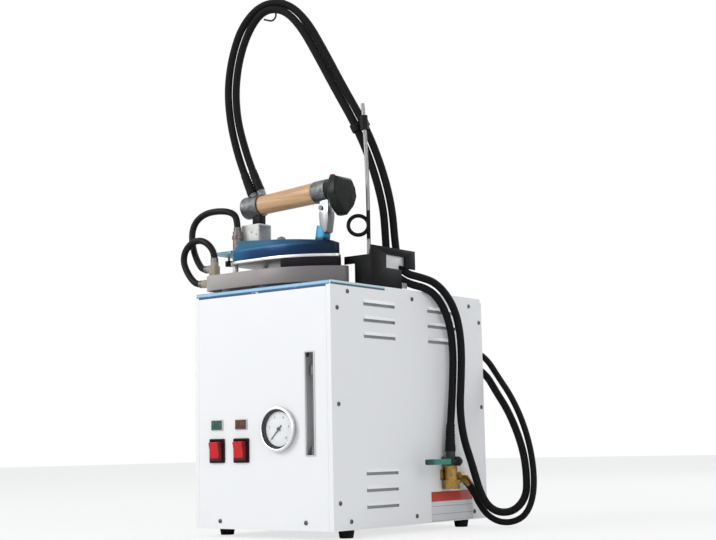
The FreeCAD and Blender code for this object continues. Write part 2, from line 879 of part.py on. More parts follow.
def boiler_tank():
    tank = boiler_form(0).cut(boiler_form(-boiler_wall))
    along_y = boiler_radius
    ports = [rod((x, boiler_y - along_y - cut_over, z), Y_AXIS, pipe_bore, along_y)
             for x, z in ((window_x, glass_low_z), (window_x, glass_high_z), (gauge_x, gauge_z))]
    ports.append(rod((boiler_x, valve_y, valve_nipple_z), X_AXIS, pipe_bore, boiler_radius))
    ports += [rod((x, y, boiler_shoulder_z - boiler_wall), Z_AXIS, radius, boiler_dome + 2 * boiler_wall)
              for x, y, radius in ((pressure_switch_x, pressure_switch_y, pipe_bore),
                                   (safety_x, safety_y, pipe_bore), (solenoid_x, solenoid_y, pipe_bore),
                                   (filler_x, filler_y, filler_radius - filler_wall))]
    ports.append(rod((boiler_x, boiler_y, boiler_low_z - cut_over), Z_AXIS, heater_port_radius,
                     boiler_wall + 2 * cut_over))
    return tank.cut(ports)


def boiler_stand():
    low_z = bottom_z + sheet
    ring = sleeve((boiler_x, boiler_y, low_z), Z_AXIS, stand_radius, stand_radius - stand_wall,
                  boiler_low_z - low_z)
    half = stand_slot_width / 2
    across = block((boiler_x - boiler_radius, boiler_y - half, low_z - cut_over),
                   (boiler_x + boiler_radius, boiler_y + half, low_z + stand_slot_height))
    along = block((boiler_x - half, boiler_y - boiler_radius, low_z - cut_over),
                  (boiler_x + half, boiler_y + boiler_radius, low_z + stand_slot_height))
    return ring.cut([across, along])


def heating_element():
    low_z = boiler_low_z - heater_flange_thickness
    flange = rod((boiler_x, boiler_y, low_z), Z_AXIS, heater_flange_radius, heater_flange_thickness)
    left, right = boiler_x - heater_rod_spread, boiler_x + heater_rod_spread
    top_z = boiler_low_z + heater_rod_height
    foot_z = boiler_low_z - heater_flange_thickness / 2
    crest = V(boiler_x, boiler_y, top_z + heater_rod_spread)
    bend = arc(V(left, boiler_y, top_z), crest, V(right, boiler_y, top_z))
    edges = [Part.LineSegment(V(left, boiler_y, foot_z), V(left, boiler_y, top_z)).toShape(), bend,
             Part.LineSegment(V(right, boiler_y, top_z), V(right, boiler_y, foot_z)).toShape()]
    terminals = [rod((x, boiler_y, low_z - heater_terminal_length), Z_AXIS, heater_terminal_radius,
                     heater_terminal_length) for x in (left, right)]
    return joined(flange, swept(edges, 2 * heater_rod_radius), *terminals)


def dome_stub(x, y, top_z):
    """Short pipe that stands on the dome."""
    low_z = boiler_shoulder_z - boiler_wall
    return rod((x, y, low_z), Z_AXIS, stub_radius, top_z - low_z).cut(boiler_form(seat_gap))


def dome_height(x, y):
    sphere_radius = (boiler_radius ** 2 + boiler_dome ** 2) / (2 * boiler_dome)
    away = (x - boiler_x) ** 2 + (y - boiler_y) ** 2
    return boiler_shoulder_z + boiler_dome - sphere_radius + math.sqrt(sphere_radius ** 2 - away)


def pressure_switch():
    low_z = dome_height(pressure_switch_x, pressure_switch_y) + stub_height
    half = pressure_switch_size / 2
    box = rounded_block((pressure_switch_x - half, pressure_switch_y - half, low_z),
                        (pressure_switch_x + half, pressure_switch_y + half, low_z + pressure_switch_height),
                        screw_head_radius, Z_AXIS)
    return joined(box, dome_stub(pressure_switch_x, pressure_switch_y, low_z))


def safety_valve():
    low_z = dome_height(safety_x, safety_y) + stub_height
    body = rod((safety_x, safety_y, low_z), Z_AXIS, safety_radius, safety_height)
    cap = rod((safety_x, safety_y, low_z + safety_height), Z_AXIS, safety_cap_radius, safety_cap_height)
    return joined(body, cap, dome_stub(safety_x, safety_y, low_z))


def solenoid_valve():
    low_z = outlet_z - solenoid_body_height / 2
    half = solenoid_body / 2
    body = block((solenoid_x - half, solenoid_y - half, low_z),
                 (solenoid_x + half, solenoid_y + half, low_z + solenoid_body_height))
    coil = rod((solenoid_x, solenoid_y, low_z + solenoid_body_height), Z_AXIS, solenoid_coil_radius,
               solenoid_coil_height)
    pipe = rod((outlet_x, solenoid_y, outlet_z), Y_AXIS, steam_pipe_radius, steam_pipe_end_y - solenoid_y)
    return joined(body, coil, pipe, dome_stub(solenoid_x, solenoid_y, low_z))


def filler_neck():
    low_z = boiler_shoulder_z
    top_z = lid_z + filler_rise
    tube = rod((filler_x, filler_y, low_z), Z_AXIS, filler_radius, top_z - low_z)
    bore = rod((filler_x, filler_y, low_z - cut_over), Z_AXIS, filler_radius - filler_wall,
               top_z - low_z + 2 * cut_over)
    flange = rod((filler_x, filler_y, lid_z), Z_AXIS, filler_flange_radius, filler_flange_thickness)
    return joined(tube, flange).cut([bore, boiler_form(seat_gap)])


def filler_cap():
    low_z = lid_z + filler_flange_thickness + seat_gap
    cap = rod((filler_x, filler_y, low_z), Z_AXIS, filler_cap_radius, filler_cap_height)
    ribs = []
    for step in range(filler_cap_ribs):
        angle = 2 * math.pi * step / filler_cap_ribs
        x = filler_x + filler_cap_radius * math.cos(angle)
        y = filler_y + filler_cap_radius * math.sin(angle)
        ribs.append(rod((x, y, low_z), Z_AXIS, filler_cap_rib_radius, filler_cap_height))
    thread = rod((filler_x, filler_y, low_z - cut_over), Z_AXIS, filler_radius + bore_gap,
                 lid_z + filler_rise + seat_gap - low_z + cut_over)
    return joined(cap, *ribs).cut(thread)


# Front instruments
def boiler_pipe(x, z, start_y, radius):
    """Bored pipe from an instrument back to the front of the tank."""
    pipe = rod((x, start_y, z), Y_AXIS, radius, boiler_y - start_y)
    bore = rod((x, start_y - cut_over, z), Y_AXIS, pipe_bore, boiler_y - start_y)
    return pipe.cut([bore, boiler_form(seat_gap)])


def sight_glass():
    low_z = glass_low_z + glass_fitting_height / 2
    return sleeve((window_x, glass_y, low_z), Z_AXIS, glass_radius, glass_radius - glass_wall,
                  glass_high_z - glass_low_z - glass_fitting_height)


def glass_fitting(z):
    low_z = z - glass_fitting_height / 2
    body = rod((window_x, glass_y, low_z), Z_AXIS, glass_fitting_radius, glass_fitting_height)
    return joined(body, boiler_pipe(window_x, z, glass_y, glass_pipe_radius))


def window_trim_frame():
    face_y = -half_depth
    half = window_width / 2
    frame = rounded_block((window_x - half, face_y - window_trim_depth, window_low_z),
                          (window_x + half, face_y, window_high_z), window_trim, Y_AXIS)
    opening = block((window_x - half + window_trim, face_y - window_trim_depth - cut_over,
                     window_low_z + window_trim),
                    (window_x + half - window_trim, face_y + cut_over, window_high_z - window_trim))
    return frame.cut(opening)


def gauge_planes():
    """Depths of the bezel's front, the back of its lip, the lens's back and the dial's two faces."""
    front = -half_depth - gauge_bezel_depth
    lens_front = front + gauge_lip
    lens_back = lens_front + gauge_lens_thickness
    dial_back = -half_depth - gauge_flange
    return front, lens_front, lens_back, dial_back - gauge_dial_thickness, dial_back


def gauge_case():
    front, lens_front, _, _, dial_back = gauge_planes()
    inner = gauge_radius - gauge_bezel_wall
    body = rod((gauge_x, front, gauge_z), Y_AXIS, gauge_radius, gauge_bezel_depth)
    case = rod((gauge_x, -half_depth, gauge_z), Y_AXIS, gauge_case_radius, gauge_case_depth)
    hollow = rod((gauge_x, lens_front, gauge_z), Y_AXIS, inner, dial_back - lens_front)
    mouth = rod((gauge_x, front - cut_over, gauge_z), Y_AXIS, gauge_lip_inner, gauge_lip + 2 * cut_over)
    pin_hole = rod((gauge_x, dial_back - cut_over, gauge_z), Y_AXIS, needle_pin_radius + bore_gap,
                   needle_pin_length + 2 * cut_over)
    return joined(body, case).cut([hollow, mouth, pin_hole])


def gauge_dial():
    _, _, _, dial_front, _ = gauge_planes()
    disc = rod((gauge_x, dial_front, gauge_z), Y_AXIS, gauge_radius - gauge_bezel_wall - seat_gap,
               gauge_dial_thickness)
    return disc.cut(rod((gauge_x, dial_front - cut_over, gauge_z), Y_AXIS, needle_pin_radius + bore_gap,
                        gauge_dial_thickness + 2 * cut_over))


def gauge_lens():
    _, lens_front, _, _, _ = gauge_planes()
    return rod((gauge_x, lens_front, gauge_z), Y_AXIS, gauge_radius - gauge_bezel_wall - seat_gap,
               gauge_lens_thickness)


def gauge_needle():
    """Needle that lies over the dial at the low end of its scale, on a pin through the dial."""
    _, _, _, dial_front, dial_back = gauge_planes()
    back = dial_front - needle_lift
    blade = prism([(gauge_x - needle_tail, back, gauge_z - needle_width / 2),
                   (gauge_x + needle_length, back, gauge_z - needle_thickness / 2),
                   (gauge_x + needle_length, back, gauge_z + needle_thickness / 2),
                   (gauge_x - needle_tail, back, gauge_z + needle_width / 2)], V(0, -needle_thickness, 0))
    blade.rotate(V(gauge_x, back, gauge_z), Y_AXIS, -needle_rest_angle)
    hub = rod((gauge_x, back, gauge_z), -Y_AXIS, needle_hub_radius, needle_hub_height)
    pin = rod((gauge_x, back, gauge_z), Y_AXIS, needle_pin_radius, dial_back - back + needle_pin_length)
    return joined(blade, hub, pin)


def switch_housing(x):
    """Frame on the panel and a body behind it, with a pocket and two blind holes for the rocker's pins."""
    front = -half_depth - switch_rim_depth
    half_w, half_h = switch_width / 2, switch_height / 2
    rim = rounded_block((x - half_w, front, switch_z - half_h), (x + half_w, -half_depth, switch_z + half_h),
                        window_trim, Y_AXIS)
    body_w, body_h = switch_body_width / 2, switch_body_height / 2
    body = block((x - body_w, -half_depth, switch_z - body_h),
                 (x + body_w, switch_body_depth - half_depth, switch_z + body_h))
    pocket_w, pocket_h = half_w - switch_rim, half_h - switch_rim
    pocket = block((x - pocket_w, front - cut_over, switch_z - pocket_h),
                   (x + pocket_w, front + switch_pocket_depth, switch_z + pocket_h))
    reach = pocket_w - rocker_gap + rocker_pin_length + bore_gap
    pin_start = (x - reach, front + rocker_pin_depth, switch_z)
    pins = rod(pin_start, X_AXIS, rocker_pin_radius + bore_gap, 2 * reach)
    return joined(rim, body).cut([pocket, pins])


def rocker(x):
    """Rocker with its two pins, at rest with its lower end pressed in."""
    front = -half_depth - switch_rim_depth
    half = switch_width / 2 - switch_rim - rocker_gap
    body = prism([(x - half, front - out, switch_z + z) for z, out in rocker_outline], V(2 * half, 0, 0))
    reach = half + rocker_pin_length
    pins = rod((x - reach, front + rocker_pin_depth, switch_z), X_AXIS, rocker_pin_radius, 2 * reach)
    body = joined(body, pins)
    body.rotate(V(x, front + rocker_pin_depth, switch_z), X_AXIS, rocker_tilt)
    return body


def pilot_lamp(x):
    """Frame with a body behind it, and the lens in front."""
    half_w, half_h = lamp_width / 2, lamp_height / 2
    rim = rounded_block((x - half_w, -half_depth - lamp_rim_depth, lamp_z - half_h),
                        (x + half_w, -half_depth, lamp_z + half_h), lamp_rim_depth, Y_AXIS)
    body_w, body_h = half_w - lamp_body_margin, half_h - lamp_body_margin
    body = block((x - body_w, -half_depth, lamp_z - body_h),
                 (x + body_w, lamp_body_depth - half_depth, lamp_z + body_h))
    lens_w, lens_h = half_w - lamp_lens_margin, half_h - lamp_lens_margin
    lens = rounded_block((x - lens_w, -half_depth - lamp_lens_depth, lamp_z - lens_h),
                         (x + lens_w, -half_depth - lamp_rim_depth, lamp_z + lens_h), lamp_rim_depth, Y_AXIS)
    return [joined(rim, body), lens]


# Valve on the right side
def ball_valve():
    """Upright valve with a nipple through the side wall, a branch to the supply hose and a sleeve on top."""
    body = rod((valve_x, valve_y, valve_low_z), Z_AXIS, valve_radius, valve_high_z - valve_low_z)
    low_hex = hexagon((valve_x, valve_y, valve_low_z), Z_AXIS, valve_hex, valve_hex_height, hex_flat_turn)
    high_hex = hexagon((valve_x, valve_y, valve_high_z - valve_hex_height), Z_AXIS, valve_hex,
                       valve_hex_height, hex_flat_turn)
    sleeve_on_top = rod((valve_x, valve_y, valve_high_z), Z_AXIS, valve_sleeve_radius, valve_sleeve_length)
    hose_end = V(valve_x, valve_y + valve_branch_out, valve_low_z + valve_branch_rise)
    into_valve = heading_out(supply_hose_route)
    elbow = hose_end + into_valve * valve_branch_length
    branch_end = rod(hose_end, into_valve, valve_branch_radius, valve_branch_length)
    branch = rod((valve_x, valve_y, elbow.z), Y_AXIS, valve_branch_radius, elbow.y - valve_y)
    ball = Part.makeSphere(valve_branch_radius, elbow)
    nut_start = (valve_x, valve_y + valve_radius, elbow.z)
    nut = hexagon(nut_start, Y_AXIS, valve_branch_hex, valve_branch_hex_length)
    nipple_start = (valve_inner_x, valve_y, valve_nipple_z)
    nipple = rod(nipple_start, X_AXIS, valve_nipple_radius, valve_x - valve_inner_x)
    bore = rod((valve_inner_x - cut_over, valve_y, valve_nipple_z), X_AXIS, pipe_bore,
               half_width - valve_inner_x)
    lock_nut = hexagon((half_width, valve_y, valve_nipple_z), X_AXIS, valve_nut_hex, valve_nut_height)
    stem_hole = rod((valve_x + valve_hex / 2 - stem_seat_depth, valve_y, lever_z), X_AXIS,
                    stem_radius + bore_gap, valve_hex)
    whole = joined(body, low_hex, high_hex, sleeve_on_top, branch_end, branch, ball, nut, nipple, lock_nut)
    return whole.cut([bore, stem_hole, boiler_form(seat_gap)])


def valve_lever():
    """Flat lever with a thicker grip, on a stem that ends in the valve."""
    stem_x = valve_x + valve_hex / 2 - stem_seat_depth + slide_gap
    plate_x = valve_x + valve_hex / 2 + lever_gap
    stem = rod((stem_x, valve_y, lever_z), X_AXIS, stem_radius, plate_x - stem_x + lever_thickness)
    hub = rod((plate_x, valve_y, lever_z), X_AXIS, lever_hub_radius, lever_thickness)
    half = lever_width / 2
    bar = block((plate_x, valve_y - lever_length, lever_z - half),
                (plate_x + lever_thickness, valve_y, lever_z + half))
    extra = (lever_grip_thickness - lever_thickness) / 2
    grip_low = (plate_x - extra, valve_y - lever_length - extra, lever_z - half - extra)
    grip_high = (plate_x + lever_thickness + extra, valve_y - lever_grip_start, lever_z + half + extra)
    grip = rounded_block(grip_low, grip_high, lever_thickness, X_AXIS)
    nut_start = (plate_x + lever_thickness, valve_y, lever_z)
    nut = hexagon(nut_start, X_AXIS, 2 * lever_nut_radius, lever_nut_height)
    return joined(stem, hub, bar, grip, nut)


def side_plate():
    outer_x = half_width + plate_thickness
    return block((half_width, plate_low_y, plate_low_z), (outer_x, plate_high_y, plate_high_z))


# Rear outlets
def rear_elbow(x, z, inner_y):
    """Elbow from the rear wall to the right, with a flange outside and a nut inside."""
    face_y = half_depth
    pipe = rod((x, inner_y, z), Y_AXIS, outlet_radius, elbow_y - inner_y)
    turn = Part.makeSphere(outlet_radius, V(x, elbow_y, z))
    arm = rod((x, elbow_y, z), X_AXIS, outlet_radius, elbow_end_x - x)
    collar_x = elbow_end_x - outlet_nut_height - outlet_nut_height
    collar = rod((collar_x, elbow_y, z), X_AXIS, valve_sleeve_radius, elbow_end_x - collar_x)
    flange = rod((x, face_y, z), Y_AXIS, outlet_flange_radius, outlet_flange_thickness)
    nut = hexagon((x, face_y - sheet - outlet_nut_height, z), Y_AXIS, outlet_nut_hex, outlet_nut_height)
    return joined(pipe, turn, arm, collar, flange, nut)


def steam_outlet():
    return rear_elbow(outlet_x, outlet_z, steam_pipe_end_y)


def cable_glands():
    """Elbow gland of the iron's cable, and the straight gland of the mains cord."""
    face_y = half_depth
    elbow = rear_elbow(gland_x, gland_z, face_y - sheet - 2 * outlet_nut_height)
    place = (mains_gland_x, face_y, mains_gland_z)
    tail = rod((mains_gland_x, face_y - sheet - outlet_nut_height, mains_gland_z), Y_AXIS,
               mains_bore_radius + 2 * sheet, sheet + outlet_nut_height)
    nut = hexagon((mains_gland_x, face_y - sheet - outlet_nut_height, mains_gland_z), Y_AXIS,
                  2 * mains_gland_radius, outlet_nut_height)
    flange = rod(place, Y_AXIS, mains_gland_radius, mains_gland_length)
    bore = rod((mains_gland_x, face_y - sheet - outlet_nut_height - cut_over, mains_gland_z), Y_AXIS,
               mains_bore_radius, sheet + outlet_nut_height + mains_gland_length + 2 * cut_over)
    return [elbow, joined(tail, nut, flange).cut(bore)]


# Outlines shared by the iron, its pad and its rest
def sole_wire(heel_x, length, width, corner, inset, z):
    """Closed outline with rounded heel corners and two curved sides that meet in a rounded nose."""
    low, high = heel_x + inset, heel_x + length - inset
    span, half = high - low, width / 2 - inset
    radius = corner - inset
    shoulder = low + span * sole_shoulder_share
    bend = (low + span * sole_bend_x_share, half * sole_bend_y_share)
    nose = (high - span * sole_nose_x_share, half * sole_nose_y_share)
    diagonal = radius * math.sqrt(0.5)

    def at(x, y):
        return V(x, iron_y + y, z)

    def line(a, b):
        return Part.LineSegment(at(*a), at(*b)).toShape()

    def curve(a, b, c):
        return arc(at(*a), at(*b), at(*c))

    centre_x, centre_y = low + radius, half - radius
    edges = [
        line((low, centre_y), (low, -centre_y)),
        curve((low, -centre_y), (centre_x - diagonal, -centre_y - diagonal), (centre_x, -half)),
        line((centre_x, -half), (shoulder, -half)),
        curve((shoulder, -half), (bend[0], -bend[1]), (nose[0], -nose[1])),
        curve((nose[0], -nose[1]), (high, 0), nose),
        curve(nose, bend, (shoulder, half)),
        line((shoulder, half), (centre_x, half)),
        curve((centre_x, half), (centre_x - diagonal, centre_y + diagonal), (low, centre_y)),
    ]
    return Part.Wire(edges)


def sole_form(heel_x, length, width, corner, inset, low_z, high_z):
    return Part.Face(sole_wire(heel_x, length, width, corner, inset, low_z)).extrude(V(0, 0, high_z - low_z))


def rest_tray():
    """Hollow tray in the outline of an iron, on four bosses."""
    size = (rest_heel_x, rest_length, rest_width, rest_corner)
    tray = sole_form(*size, 0, rest_low_z, rest_high_z)
    hollow = sole_form(*size, rest_wall, rest_low_z - cut_over, rest_high_z - rest_top)
    middle_x = rest_heel_x + rest_length * (1 - sole_shoulder_share) / 2
    reach_x, reach_y = rest_length * rest_boss_x_share / 2, rest_width * rest_boss_y_share
    places = [(middle_x + side_x * reach_x, iron_y + side_y * reach_y)
              for side_x in (-1, 1) for side_y in (-1, 1)]
    bosses = [rod((x, y, lid_z), Z_AXIS, rest_boss_radius, rest_high_z - rest_top - lid_z) for x, y in places]
    return joined(tray.cut(hollow), *bosses)


def rest_pads():
    """Front pad in the sole's own outline, and two rear posts."""
    high_z = rest_high_z + pad_height
    outline = sole_form(sole_heel_x, sole_length, sole_width, sole_corner, 0, rest_high_z, high_z)
    half = sole_width / 2
    front = block((pad_heel_x, iron_y - half, rest_high_z),
                  (sole_heel_x + sole_length, iron_y + half, high_z))
    post_ys = (iron_y - rest_post_y, iron_y + rest_post_y)
    posts = [rod((rest_post_x, y, rest_high_z), Z_AXIS, rest_post_radius, pad_height) for y in post_ys]
    return [outline.common(front)] + posts


def tube_fitting(tray):
    """Elbow for the two thin tubes on the rest's rear corner, and the nipple below it."""
    half = fitting_size / 2
    collar_z = rest_high_z + fitting_height
    body = rounded_block((fitting_x - half, fitting_y - half, rest_high_z),
                         (fitting_x + half, fitting_y + half, collar_z), fitting_size / 4, Z_AXIS)
    collar = rod((fitting_x, fitting_y, collar_z), Z_AXIS, fitting_collar_radius, fitting_collar_height)
    arm = rod((fitting_x, fitting_y, rest_high_z + fitting_arm_rise), -X_AXIS, fitting_collar_radius,
              fitting_arm_length)
    nipple_start = (fitting_x, fitting_y - nipple_aside, rest_low_z + nipple_rise)
    nipple = rod(nipple_start, -X_AXIS, fitting_collar_radius, nipple_length)
    rest_size = (rest_heel_x, rest_length, rest_width, rest_corner)
    nipple = nipple.cut(sole_form(*rest_size, 0, rest_low_z, rest_high_z))
    return [joined(body, collar, arm), nipple]


# Iron
def sole_plate():
    low_z = rest_high_z + pad_height + seat_gap
    return sole_form(sole_heel_x, sole_length, sole_width, sole_corner, 0, low_z, low_z + sole_thickness)


def cover_base_z():
    return rest_high_z + pad_height + seat_gap + sole_thickness


def sole_cover():
    """Upright wall, a crown that slopes down to the nose, the tail plate and the pedestal."""
    size = (sole_heel_x, sole_length, sole_width, sole_corner)
    low_z = cover_base_z()
    rim_z = low_z + cover_wall_height
    wall = sole_form(*size, cover_inset, low_z, rim_z)
    top = sole_wire(*size, cover_crown_inset, rim_z + cover_crown)
    top.rotate(V(sole_heel_x + cover_crown_inset, iron_y, rim_z + cover_crown), Y_AXIS, cover_slope)
    crown = Part.makeLoft([sole_wire(*size, cover_inset, rim_z), top], True, True)
    half = tail_width / 2
    tail_x = sole_heel_x + cover_inset + cover_inset
    tail = rounded_block((tail_x - tail_length, iron_y - half, low_z + tail_rise),
                         (tail_x + cover_crown_inset, iron_y + half, low_z + tail_rise + tail_thickness),
                         tail_thickness, Z_AXIS)
    side_y = iron_y - pedestal_width / 2
    points = [(pedestal_x + x * pedestal_length, side_y, pedestal_z + z * pedestal_height)
              for x, z in pedestal_shares]
    foot_x = tail_x - tail_length + heel_foot_radius
    stem = rod((foot_x, iron_y, low_z + tail_rise + heel_foot_overlap), -Z_AXIS, heel_stem_radius,
               heel_stem_length + 2 * heel_foot_overlap)
    foot_top = (foot_x, iron_y, low_z + tail_rise - heel_stem_length)
    foot = rod(foot_top, -Z_AXIS, heel_foot_radius, heel_foot_height)
    return joined(wall, crown, tail, prism(points, V(0, pedestal_width, 0)), stem, foot)


def rear_bracket(cover):
    """Box section that stands on the cover and carries the block, with two small holes in its side."""
    half = bracket_width / 2
    low_z = cover_base_z() + cover_wall_height
    box = rounded_block((bracket_x, iron_y - half, low_z),
                        (bracket_x + bracket_length, iron_y + half, bracket_top_z), bracket_wall, X_AXIS)
    hollow = block((bracket_x - cut_over, iron_y - half + bracket_wall, low_z - cut_over),
                   (bracket_x + bracket_length + cut_over, iron_y + half - bracket_wall,
                    bracket_top_z - bracket_wall))
    places = [(bracket_x + reach, iron_y - half - cut_over, bracket_top_z - drop)
              for reach, drop in zip(bracket_hole_reaches, bracket_hole_drops)]
    holes = [rod(place, Y_AXIS, bracket_hole_radius, bracket_wall + 2 * cut_over) for place in places]
    return box.cut([hollow, cover] + holes)


def handle_axis():
    tilt = math.radians(handle_tilt)
    return V(math.cos(tilt), 0, math.sin(tilt))


def on_handle(distance):
    return V(handle_rear_x, iron_y, handle_rear_z) + handle_axis() * distance


def handle_rod(distance, radius, length):
    return rod(on_handle(distance), handle_axis(), radius, length)


def handle_block():
    half = block_width / 2
    high = (block_x + block_length, iron_y + half, bracket_top_z + block_height)
    body = rounded_block((block_x, iron_y - half, bracket_top_z), high, bracket_wall, Z_AXIS)
    return body.cut([handle_rod(-cap_length, cap_radius + seat_gap, 2 * cap_length),
                     handle_rod(0, handle_radius_front + seat_gap, cap_length + handle_length)])


def wooden_handle():
    start = on_handle(cap_length)
    body = Part.makeCone(handle_radius_rear, handle_radius_front, handle_length, start, handle_axis())
    return body.cut(handle_rod(cap_length - cut_over, handle_core_radius, handle_length + 2 * cut_over))


def rear_cap():
    """Cap over the handle's rear end, with a sleeve for the steam hose and one for the cable."""
    cap = handle_rod(0, cap_radius, cap_length)
    rim = [e for e in cap.Edges if (e.CenterOfMass - on_handle(0)).Length < seat_gap]
    cap = cap.makeFillet(cap_wall, rim)
    hollow = handle_rod(cap_wall, cap_radius - cap_wall, cap_length)
    places = [(handle_rear_x + along, iron_y + aside, handle_rear_z + rise)
              for along, aside, rise in zip(sleeve_alongs, sleeve_asides, sleeve_rises)]
    sleeves = [rod(place, heading_out(route), sleeve_radius, sleeve_length + sleeve_radius)
               for place, route in zip(places, (steam_hose_route, iron_cable_route))]
    wood = handle_rod(cap_length, handle_radius_front + seat_gap, handle_length)
    wood_end = handle_rod(cap_length, cap_radius, handle_length)
    bored = [s.cut(handle_rod(0, cap_radius - cap_wall, cap_length)) for s in sleeves]
    kept = [s.cut(wood.common(wood_end)) for s in bored]
    return joined(cap.cut(hollow), *kept)


def front_ferrule():
    start = cap_length + handle_length
    return handle_rod(start, ferrule_radius, ferrule_length).cut(
        handle_rod(start - cut_over, handle_core_radius, ferrule_length + 2 * cut_over))


def shield_section(distance, share):
    """Outline of the guard square to the handle, scaled about its middle."""
    axis = handle_axis()
    up = V(-axis.z, 0, axis.x)
    middle = shield_height / 2 - shield_drop
    points = []
    for across, rise in shield_shares + shield_shares[:1]:
        height = middle + (rise * shield_height - shield_height / 2) * share
        points.append(on_handle(distance) + V(0, across * shield_width * share, 0) + up * height)
    return Part.makePolygon(points)


def button_place():
    """Middle of the button where it leaves the collar."""
    middle = on_handle(cap_length + handle_length + ferrule_length + collar_length / 2)
    return V(middle.x, iron_y, middle.z + collar_radius)


def hand_guard():
    """Collar with the button's bore, and the faceted guard in front of it."""
    start = cap_length + handle_length + ferrule_length
    collar = handle_rod(start, collar_radius, collar_length)
    front = start + collar_length
    sections = [shield_section(front, shield_front_share), shield_section(front + shield_edge, 1),
                shield_section(front + shield_length - shield_edge, 1),
                shield_section(front + shield_length, shield_front_share)]
    place = button_place()
    bore = rod((place.x, place.y, place.z - button_guide - button_travel - seat_gap), Z_AXIS,
               button_radius + slide_gap, button_guide + button_travel + button_height)
    return joined(collar, Part.makeLoft(sections, True, True)).cut(bore)


def steam_button():
    place = button_place()
    low = (place.x, place.y, place.z - button_guide)
    button = rod(low, Z_AXIS, button_radius, button_guide + button_height)
    top = [e for e in button.Edges if e.CenterOfMass.z > place.z + button_height - slide_gap]
    return button.makeFillet(button_radius / 3, top)


def front_bracket(cover):
    """Folded strap from the pedestal up to the ferrule."""
    points = [(strap_x + x * strap_length, iron_y - front_strap_width / 2, strap_z + z * strap_height)
              for x, z in strap_shares]
    strap = prism(points, V(0, front_strap_width, 0))
    start = cap_length + handle_length
    room = ferrule_radius + seat_gap
    return strap.cut([cover, handle_rod(0, room, start + ferrule_length),
                      handle_rod(start, room, ferrule_length + collar_length + seat_gap)])


def tube_inlet(cover):
    tube = rod((inlet_x, inlet_y, inlet_low_z), Z_AXIS, inlet_radius, inlet_top_z - inlet_low_z)
    collar = rod((inlet_x, inlet_y, inlet_collar_z), Z_AXIS, inlet_collar_radius, inlet_collar_height)
    return joined(tube, collar).cut(cover)


def iron_screws(cover):
    low_z = cover_base_z() + cover_wall_height
    nut = hexagon((cover_nut_x, cover_screw_y, low_z), Z_AXIS, cover_nut_hex, cover_nut_z - low_z).cut(cover)
    screw = rod((cover_screw_x, cover_screw_y, low_z), Z_AXIS, cover_screw_radius, cover_screw_z - low_z)
    screw = screw.cut(cover)
    side = rod((strap_screw_x, iron_y - front_strap_width / 2, strap_screw_z), -Y_AXIS, strap_screw_radius,
               strap_screw_height)
    return [nut, screw, side]


# Hose bracket and mast
def hose_bracket():
    """Plate on the lid's right edge with a window and a hanging post, its foot, and the front hook plate."""
    outline = [
        (frame_low_y, lid_z), (frame_cut_y, lid_z), (frame_cut_y, window_frame_low_z),
        (window_frame_low_y, window_frame_low_z), (window_frame_low_y, window_frame_high_z),
        (window_frame_high_y, window_frame_high_z), (window_frame_high_y, frame_post_low_z),
        (frame_high_y, frame_post_low_z), (frame_high_y, frame_high_z), (frame_low_y, frame_high_z),
    ]
    plate = prism([(frame_x, y, z) for y, z in outline], V(frame_sheet, 0, 0))
    outer_x = frame_x + frame_sheet
    foot = block((outer_x - frame_foot_depth, frame_low_y, lid_z),
                 (outer_x, frame_cut_y, lid_z + frame_sheet))
    hook = prism([
        (hook_step_x, frame_low_y, lid_z), (outer_x, frame_low_y, lid_z), (outer_x, frame_low_y, hook_high_z),
        (hook_reach_x, frame_low_y, hook_high_z), (hook_reach_x, frame_low_y, hook_step_z),
        (hook_step_x, frame_low_y, hook_step_z),
    ], V(0, frame_sheet, 0))
    return joined(plate, foot, hook)


def clamp_plate():
    low_z = lid_z + frame_sheet
    outline = [
        (clamp_low_y, low_z), (clamp_tongue_y, low_z), (clamp_tongue_y, clamp_tongue_z),
        (clamp_step_y, clamp_tongue_z), (clamp_step_y, clamp_step_z), (clamp_high_y, clamp_step_z),
        (clamp_high_y, clamp_high_z), (clamp_low_y, clamp_high_z),
    ]
    return prism([(frame_x - clamp_sheet, y, z) for y, z in outline], V(clamp_sheet, 0, 0))


def mast_socket():
    low_z, half = lid_z + frame_sheet, socket_size / 2
    body = rounded_block((mast_x - half, mast_y - half, low_z),
                         (mast_x + half, mast_y + half, low_z + socket_height), frame_sheet, Z_AXIS)
    return body.cut(rod((mast_x, mast_y, low_z - cut_over), Z_AXIS, mast_radius + seat_gap,
                        socket_height + 2 * cut_over))


def view_axes():
    """Across and along the turned plane of the coil."""
    turn = math.radians(view_turn)
    return V(math.cos(turn), math.sin(turn), 0), V(-math.sin(turn), math.cos(turn), 0)


def biarc(start, start_heading, end, end_heading):
    """Two arcs that join two points and leave and arrive in the given unit headings."""
    span = end - start
    both = start_heading + end_heading
    spread = 2 * (1 - start_heading.dot(end_heading))
    reach = (math.sqrt(span.dot(both) ** 2 + spread * span.dot(span)) - span.dot(both)) / spread
    middle = (start + start_heading * reach + end - end_heading * reach) * 0.5
    return [tangent_arc(start, start_heading, middle), tangent_arc(end, -end_heading, middle, True)]


def tangent_arc(start, heading, end, turned=False):
    """Arc from a point in a unit heading to another point; `turned` gives it the other way round."""
    chord = end - start
    angle = chord.getAngle(heading)
    across = heading - chord * (heading.dot(chord) / chord.dot(chord))
    across.normalize()
    middle = start + chord * 0.5 + across * (chord.Length / 2 * math.tan(angle / 2))
    return arc(end, middle, start) if turned else arc(start, middle, end)


